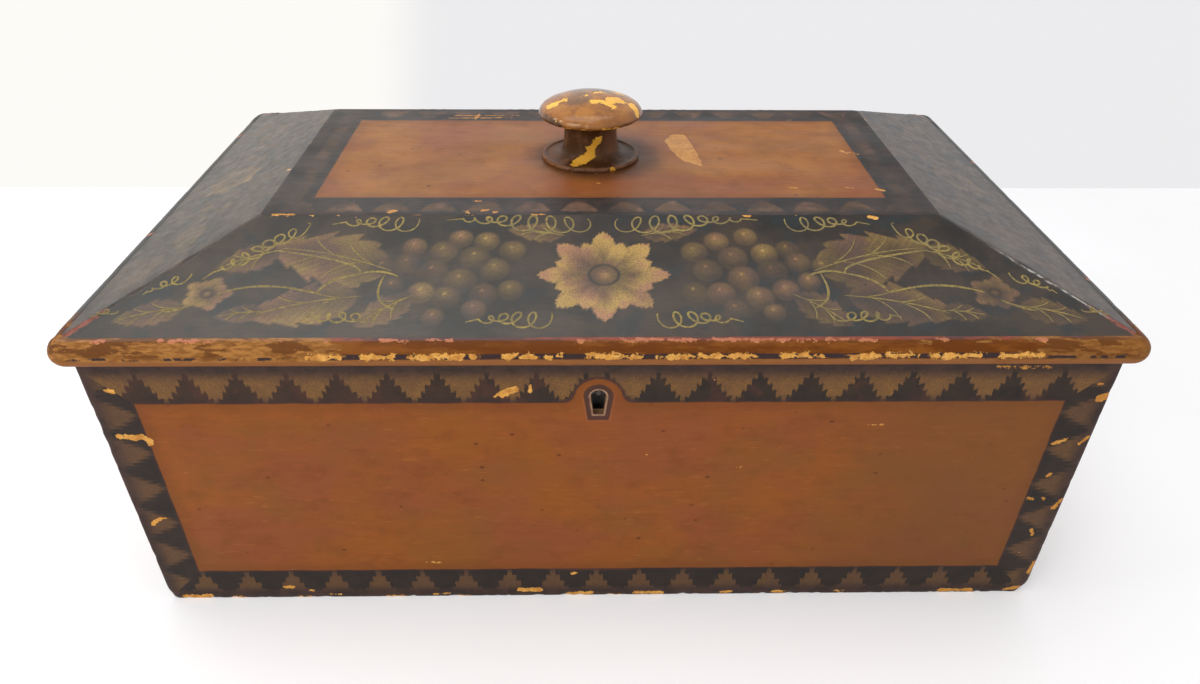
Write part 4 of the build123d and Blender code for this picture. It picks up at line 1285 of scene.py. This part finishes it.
def slope_board(side):
    step = 0.6 if side == "front" else 0.9
    steps = np.linspace(0, 1, round(SLOPE_L / step) + 1)
    outer = [(SLOPE_START + SLOPE_RUN * t, EDGE_TOP + SLOPE_RISE * t) for t in steps]
    inner = [(SLOPE_END, PANEL_Z - SLOPE_DROP), (HOLLOW, EDGE_TOP)]
    half = (LID_W / 2, LID_D / 2)
    points, faces, skin, worn, place, along = ring_board(
        side, outer, inner, half, step, slope_corner, slope_wear
    )
    if side in LONG_SIDES:
        shapes, reach, losses, share = garland(), half[0], 4, 0.66
    else:
        shapes, reach, losses, share = side_garland(), half[1], 1, 0.5
    gold = stencil(place, along, shapes, points) * skin
    if side == "back":
        gold *= 0.8
    strokes = scattered(SIDES.index(side) + 40, losses, reach - 60.0, SLOPE_L - 1.2, SLOPE_L)
    if side == "front":
        strokes += [(0.2, u, SLOPE_L - 0.1, u + w, SLOPE_L - 0.2) for u, w in CREST_CHIPS]
    bare = chips(np.stack([place, along], axis=1), strokes)
    bare = np.maximum(bare, soft(worn, 0.1, 0.45) * share) * skin
    name = "lid_slope_skin_" + side
    mesh = make_mesh(name, points, faces, skin=skin, bare=bare, gold=gold)
    add_piece(name, mesh, "lid", "painted_slope", slope_paint(side), "lid_slope_" + side)


# ------------------------------------------------------------------ the lid's panel

FEATHER = ((26.0, 16.5), (27.6, 5.0), (31.0, -6.0), (39.6, -12.5), (37.6, 2.0), (36.8, 23.0), (29.5, 23.8))
# Paint losses: a radius, and the path in plan
TOP_CHIPS = (
    (0.9, -2.9, -17.5, -1.4, -18.0), (0.6, -1.5, -27.5, -0.6, -28.0),
    (0.7, -108.0, -54.6, -101.6, -54.6), (1.0, -70.4, -52.9, -69.0, -51.6),
    (0.7, -43.6, -43.4, -41.4, -43.2), (0.8, -45.6, -52.0, -44.4, -53.2),
    (0.8, -40.0, -51.6, -38.4, -50.8), (0.7, -36.2, -52.8, -34.8, -52.2),
    (0.6, -23.3, -54.3, -19.6, -54.3), (0.7, 96.4, 3.2, 99.3, 1.7), (0.8, 93.4, 5.4, 94.9, 2.8),
    (0.6, 86.6, -31.6, 89.0, -32.0), (0.8, 97.0, -33.0, 99.0, -34.0),
    (0.5, 66.0, -31.8, 69.0, -31.9), (0.5, 79.0, 41.6, 81.0, 41.9),
    (0.6, 102.6, 47.2, 104.4, 47.0), (0.45, -66.0, 43.0, -36.0, 44.0),
    (0.45, -60.0, 46.6, -33.0, 47.0), (0.5, -51.0, 42.0, -50.0, 49.0),
)


def top_panel():
    """The panel, with rounded corners, a fine bevel and the hole for the knob's tenon."""
    half = np.array([PANEL_W, PANEL_D]) / 2
    bevel = 0.4
    lines = []
    for reach in half:
        inner = np.linspace(-reach + bevel, reach - bevel, round(2 * (reach - bevel)) + 1)
        lines.append(np.concatenate([[-reach], inner, [reach]]))
    grid = np.stack([values.ravel() for values in np.meshgrid(*lines)], axis=1)
    rim = (np.abs(grid) > half - 0.01).any(axis=1)
    centre = half - HIP_R
    over = np.maximum(np.abs(grid) - centre, 0)
    both = (over > 0).all(axis=1)
    longest, length = over.max(axis=1), np.maximum(np.linalg.norm(over, axis=1), 1e-9)
    over[both] *= (longest / length)[both][:, None]
    grid[both] = np.sign(grid[both]) * (centre + over[both])
    points = np.column_stack([grid, np.full(len(grid), PANEL_Z) - rim * 0.06])
    columns, rows = (len(line) for line in lines)
    faces = grid_faces(rows, columns)
    loop = list(range(columns))
    loop += [j * columns + columns - 1 for j in range(1, rows)]
    loop += [(rows - 1) * columns + i for i in range(columns - 2, -1, -1)]
    loop += [j * columns for j in range(rows - 2, 0, -1)]
    low = points[loop].copy()
    low[:, 2] = PANEL_Z - SLOPE_DROP
    start, n = len(points), len(loop)
    faces += [(loop[k], start + k, start + (k + 1) % n, loop[(k + 1) % n]) for k in range(n)]
    faces.append(tuple(range(start, start + n))[::-1])
    skin = np.concatenate([np.ones(start), np.zeros(n)])
    points = np.vstack([points, low])
    bare = np.maximum(chips(points[:, :2], TOP_CHIPS), bared(facet(points, FEATHER)))
    edge = (half - np.abs(points[:, :2])).min(axis=1)
    worn = soft(-edge, -1.0, 0.0) * (0.26 + 0.4 * lump(points, 8.0, 2.0))
    bare = np.maximum(bare, worn) * skin
    mesh = make_mesh("lid_panel", points, faces, skin=skin, bare=bare)
    hole = [(KNOB[0] + a, KNOB[1] + b, PANEL_Z) for a, b in circle(TENON_R, 64)]
    mesh = cut(mesh, [prism(hole, (0, 0, -20), (0, 0, 5))], lambda p: p[:, 2] > PANEL_Z - 0.05)
    add_piece("lid_panel", mesh, "lid", "painted_top", top_paint(), "lid_top_panel")


# ------------------------------------------------------------------ the knob

# Radius and height from the flange up, and the radii of the domed top
KNOB_PROFILE = (
    (6.0, 0.0), (17.8, 0.0), (18.2, 0.3), (18.3, 0.8), (18.15, 1.3), (17.75, 1.6), (17.3, 1.65),
    (16.85, 1.5), (16.5, 1.2), (15.8, 1.1), (14.4, 1.2), (12.8, 1.5), (11.9, 2.0), (11.1, 2.8),
    (10.5, 4.0), (10.15, 5.6), (9.9, 7.6), (9.8, 9.8), (9.8, 11.6), (10.4, 13.2), (11.6, 14.4),
    (13.4, 15.3), (15.5, 15.8), (17.4, 16.1), (18.6, 16.4), (19.15, 17.0), (19.2, 17.7),
    (18.8, 18.7), (17.9, 19.8), (16.4, 20.8),
)
DOME = (14.9, 13.2, 11.3, 9.3, 7.0, 4.6, 2.3, 0.0)
# Paint losses: a radius, and the path in the frame
KNOB_CHIPS = (
    (2.2, 3.4, -7.0, 154.0, 5.4, -4.6, 154.4, 7.4, -4.0, 154.3),
    (1.5, -2.6, -8.4, 153.8, 1.5, -8.0, 153.9, 4.6, -10.6, 153.2),
    (2.0, -17.6, -5.6, 151.2, -13.2, -4.6, 152.8), (1.3, 5.5, 4.6, 154.7, 8.4, 4.8, 154.1),
    (1.1, -2.0, -0.4, 155.2, 0.6, 0.6, 155.2), (0.9, -5.0, -3.4, 154.6, -7.0, -4.8, 154.1),
    (1.7, 11.6, -5.0, 151.9, 13.2, -8.0, 150.0), (0.8, -13.4, -16.4, 147.2, -6.2, -18.9, 147.0),
    (0.8, 0.4, -19.1, 147.0, 6.6, -16.8, 147.2),
    (1.35, -0.4, -9.8, 140.9, -2.4, -10.2, 139.0, -4.2, -10.8, 136.8),
    (2.1, -4.4, -11.4, 135.2, -6.8, -12.2, 134.0, -9.2, -12.4, 133.4),
)


def knob_profile():
    """Radius and height of the turned knob, from the axis below to the axis above."""
    points = [(TENON_R * i / 3, -SLOPE_DROP) for i in range(4)] + list(KNOB_PROFILE)
    brow, height = KNOB_PROFILE[-1]
    rise = KNOB_H - height
    radius = (brow**2 + rise**2) / (2 * rise)
    return points + [(r, KNOB_H - radius + math.sqrt(radius**2 - r * r)) for r in DOME]


def turned_knob():
    count = 96
    points, faces, rings = [], [], []
    for r, z in knob_profile():
        ring = circle(r, count if r > 0 else 1)
        rings.append(range(len(points), len(points) + len(ring)))
        points += [(KNOB[0] + a, KNOB[1] + b, PANEL_Z + z) for a, b in ring]
    for a, b in zip(rings[:-1], rings[1:]):
        for k in range(count):
            quad = [a[k % len(a)], a[(k + 1) % len(a)], b[(k + 1) % len(b)], b[k % len(b)]]
            faces.append(tuple(dict.fromkeys(quad)))
    work = new_object("work", raw_mesh("turned_knob", points, faces))
    finer = work.modifiers.new("finer", "SUBSURF")
    finer.subdivision_type = "SIMPLE"
    finer.levels = finer.render_levels = 1
    mesh = applied(work)
    spots = points_of(mesh)
    inward = np.column_stack([spots[:, :2] - KNOB, np.zeros(len(spots))])
    r = np.linalg.norm(inward, axis=1)
    inward /= np.maximum(r, 1e-6)[:, None]
    dent = soft(r, 16.5, 18.4) * soft(lump(spots, 3.5, 4.0), 0.1, 0.6) * 0.35
    dent *= spots[:, 2] > PANEL_Z + 0.1
    mesh.vertices.foreach_set("co", ((spots - inward * dent[:, None]) * MM).ravel())
    bare = np.maximum(chips(spots, KNOB_CHIPS), soft(dent, 0.08, 0.34) * 0.62)
    paint_values(mesh, {"bare": bare})
    clean(mesh, sharp=40)
    add_piece("turned_knob", mesh, "lid", "painted_knob", knob_paint(), "lid_knob")


# ------------------------------------------------------------------ thin painted scrolls

def slope_point(side, u, v, lift):
    """The place of slope coordinates (u along, v up) a little above the surface."""
    inset = SLOPE_START + SLOPE_RUN * v / SLOPE_L - lift * SLOPE_RISE / SLOPE_L
    height = EDGE_TOP + SLOPE_RISE * v / SLOPE_L + lift * SLOPE_RUN / SLOPE_L
    return (*(spin(side) @ (u, inset - LID_D / 2)), height)


def ribbon(side, path, width):
    """A closed, nearly flat stroke of paint along a path on a long slope, thin at both ends."""
    path = np.asarray(path)
    along = np.gradient(path, axis=0)
    along /= np.linalg.norm(along, axis=1)[:, None]
    across = np.column_stack([-along[:, 1], along[:, 0]])
    points = []
    for i, (spot, out) in enumerate(zip(path, across)):
        t = i / (len(path) - 1)
        half = width / 2 * (0.35 + 0.65 * math.sin(math.pi * t) ** 0.5)
        left, right = spot - out * half, spot + out * half
        ring = ((left, 0.0), (spot, 0.07), (right, 0.0), (spot, -0.12))
        points += [slope_point(side, *place, lift) for place, lift in ring]
    faces = grid_faces(len(path), 4, wrap_columns=True)
    faces += [(3, 2, 1, 0), tuple(range(len(points) - 4, len(points)))]
    return points, faces


def curl(start, heading, loops, size, length, sign):
    """A tendril: a line that winds into loops that grow smaller."""
    angle = math.radians(heading)
    ahead = np.array([math.cos(angle), math.sin(angle)])
    aside = np.array([-ahead[1], ahead[0]])
    points = []
    for t in np.linspace(0, 1, 40 * loops + 20):
        phase = 2 * math.pi * loops * t**1.15
        r = size * (1.0 - 0.5 * t) * math.sin(math.pi * min(1.0, 0.12 + t)) ** 0.5
        r *= 1.0 + 0.3 * math.sin(5.3 * loops * t + start[0])
        sway = 1.6 * math.sin(3.5 * t)
        spot = np.array(start) + ahead * (length * t - r * math.sin(phase))
        spot = spot + aside * (r * (math.cos(phase) - 1) + sway)
        points.append((sign * spot[0], spot[1]))
    return points


def line_along(points, sign, count=24):
    """A smooth line through three points, for stalks and veins."""
    a, b, c = (np.array(p, float) for p in points)
    middle = 2 * b - (a + c) / 2
    return [
        tuple(((1 - t) ** 2 * a + 2 * t * (1 - t) * middle + t * t * c) * (sign, 1))
        for t in np.linspace(0, 1, count)
    ]


def leaf_veins(centre, angle, length, width, sign):
    """The midrib and side veins of a leaf, as lines."""
    a = math.radians(angle)
    ahead, aside = np.array([math.cos(a), math.sin(a)]), np.array([-math.sin(a), math.cos(a)])

    def spot(s, t):
        return tuple(np.array(centre) + ahead * (s - 0.5) * length + aside * t * width / 2)

    lines = [(line_along((spot(-0.04, -0.05), spot(0.45, 0.12), spot(0.9, 0.0)), sign), 0.5)]
    for s, hand in ((0.14, 1), (0.2, -1), (0.4, 1), (0.47, -1)):
        reach = 0.74 * math.sin(math.pi * min(s + 0.2, 1) ** 0.7)
        mid = spot(s + 0.17, hand * reach * 0.38 + 0.06)
        lines.append((line_along((spot(s, 0.07), mid, spot(s + 0.28, hand * reach)), sign, 14), 0.4))
    return lines


# Half of a long slope. Curls: start, heading, loops, size, length and width
CURLS = (
    ((5, 49.0), 0, 9, 3.6, 46, 0.75), ((60, 49.0), -4, 6, 3.1, 28, 0.7),
    ((16, 9.0), -6, 6, 3.0, 26, 0.75), ((96, 47.0), -40, 9, 3.0, 37, 0.75),
    ((70, 8.0), 0, 5, 2.4, 20, 0.7), ((128, 25), -32, 4, 2.1, 15, 0.65),
    ((146, 10.0), -12, 3, 1.3, 8, 0.55),
)
STALKS = (
    ((64, 24), (70, 26), (76, 25)), ((76, 25), (84, 22), (88, 17)), ((76, 25), (82, 30), (104, 35)),
    ((88, 17), (104, 20), (118, 17)), ((122, 14), (128, 11), (132, 10)), ((68, 25), (69, 16), (64, 11)),
)


def scrolls():
    """The thin yellow lines of one slope, each a path and a width."""
    lines = []
    for sign in (-1, 1):
        lines += [(curl(*facts, sign), width) for *facts, width in CURLS]
        lines += [(line_along(stalk, sign), 0.85) for stalk in STALKS]
        for du, dv, angle, length, width, _ in LEAVES:
            lines += leaf_veins((du, dv), angle, length, width, sign)
    return lines


def scroll_paint():
    shader = Shader("gold_line_paint")
    fine = shader.noise(1.2, 4, 0.7)
    faded = shader.noise(9.0, 3, 0.6, shift=61.0).step(0.45, 0.6)
    line = shader.mix(faded * 0.55, LINE_YELLOW, LINE_FADED).coat(fine.step(0.35, 0.7), LINE_DARK)
    return shader.finish(line, fine * 0.3 + 0.35, shader.bump(fine, 0.05), gloss=0.35)


def gold_lines(side, material):
    points, faces = [], []
    for path, width in scrolls():
        spots, loops = ribbon(side, path, width)
        faces += [tuple(i + len(points) for i in loop) for loop in loops]
        points += spots
    name = "gold_lines_" + side
    add_piece(name, make_mesh(name, points, faces), "lid", "painted_slope", material)


for board in (case_board, lid_edge, slope_board):
    for side in SIDES:
        board(side)
top_panel()
turned_knob()
line_paint = scroll_paint()
for side in LONG_SIDES:
    gold_lines(side, line_paint)


# ------------------------------------------------------------------ carried-over CAD nodes

# Each metal: its bright and dull colours, its rust or verdigris, and its roughness
BRASS = metal("hinge_brass", (0.62, 0.42, 0.16), (0.3, 0.19, 0.08), (0.08, 0.07, 0.04), 0.42)
PIN_IRON = metal("pin_iron", (0.11, 0.1, 0.09), (0.05, 0.045, 0.04), (0.08, 0.04, 0.02), 0.6)
IRON = metal("lock_iron", (0.34, 0.33, 0.32), (0.14, 0.13, 0.125), (0.17, 0.07, 0.03), 0.48)
SPRING = metal("spring_steel", (0.3, 0.32, 0.36), (0.12, 0.12, 0.14), (0.15, 0.07, 0.03), 0.36)
NAIL = metal("iron", (0.25, 0.24, 0.23), (0.1, 0.09, 0.085), (0.18, 0.07, 0.03), 0.55)
HINGES = ("left_hinge_", "right_hinge_")
CARRIED = (
    (bare_pine("bottom_pine", 0, 0.7), ["bottom_board"]),
    (escutcheon_paint(), ["keyhole_escutcheon"]),
    (IRON, ["lock_plate", "lock_case", "lock_bolt", "link_plate"]),
    (PIN_IRON, ["lock_drill_pin"]),
    (SPRING, ["lock_spring"]),
    (NAIL, ["bottom_brads", "lock_screws", "link_plate_screws"]),
    (BRASS, [hinge + part for hinge in HINGES for part in ("case_leaf", "lid_leaf", "pin")]),
    (NAIL, [hinge + part for hinge in HINGES for part in ("case_screws", "lid_screws")]),
)
for material, names in CARRIED:
    for name in names:
        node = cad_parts[name]
        if not node.material_slots:
            node.data.materials.append(material)
        for place in node.material_slots:
            place.material = material


# ------------------------------------------------------------------ floor and wall

def stage_plane(name, corners, material):
    mesh = bpy.data.meshes.new(name)
    mesh.from_pydata(corners, [], [(0, 1, 2, 3)])
    mesh.materials.append(material)
    new_object(name, mesh)


def plain_surface(shader, colour, share):
    """Diffuse; the camera and reflections see a share of it plain, so that it looks white."""
    lit = shader.field("BsdfDiffuse", {"Color": colour})
    plain = shader.field("Emission", {"Color": colour})
    return shader.blend(shader.seen_by("Camera", "Glossy") * share, lit, plain)


def floor_paint():
    """A pale table that keeps the shadow."""
    shader = Shader("floor")
    cloud = shader.noise(260.0, 2, 0.5).step(0.3, 0.7)
    colour = shader.mix(cloud, (0.95, 0.947, 0.958), (0.985, 0.983, 0.998))
    # The plain share grows away from the box and toward the right, so the floor there is painted brighter
    # and shows less of its shade.
    away = shader.at[0].absolute().step(130.0, 270.0)
    right = shader.at[0].step(130.0, 260.0)
    return shader.end(plain_surface(shader, colour, away * 0.42 + right * 0.18 + 0.22))


def wall_paint():
    """The wall behind the box: plain to the camera, and see-through from its back."""
    shader = Shader("wall")
    side = (shader.at[0] + shader.jitter(60.0, 90.0, 3, 0.5)).step(-150.0, -95.0)
    colour = shader.mix(side, (0.985, 0.965, 0.93), (0.84, 0.835, 0.85))
    behind = shader.field("NewGeometry", output="Backfacing")
    clear = shader.field("BsdfTransparent")
    return shader.end(shader.blend(behind, plain_surface(shader, colour, 1.0), clear))


WALL_Y, REACH, WALL_H = 0.2816, 2.5, 1.2
left_right = ((-REACH, 0), (REACH, 0), (REACH, 1), (-REACH, 1))
stage_plane("floor", [(x, REACH * (2 * far - 1), 0) for x, far in left_right], floor_paint())
stage_plane("wall", [(x, WALL_Y, WALL_H * up) for x, up in left_right], wall_paint())
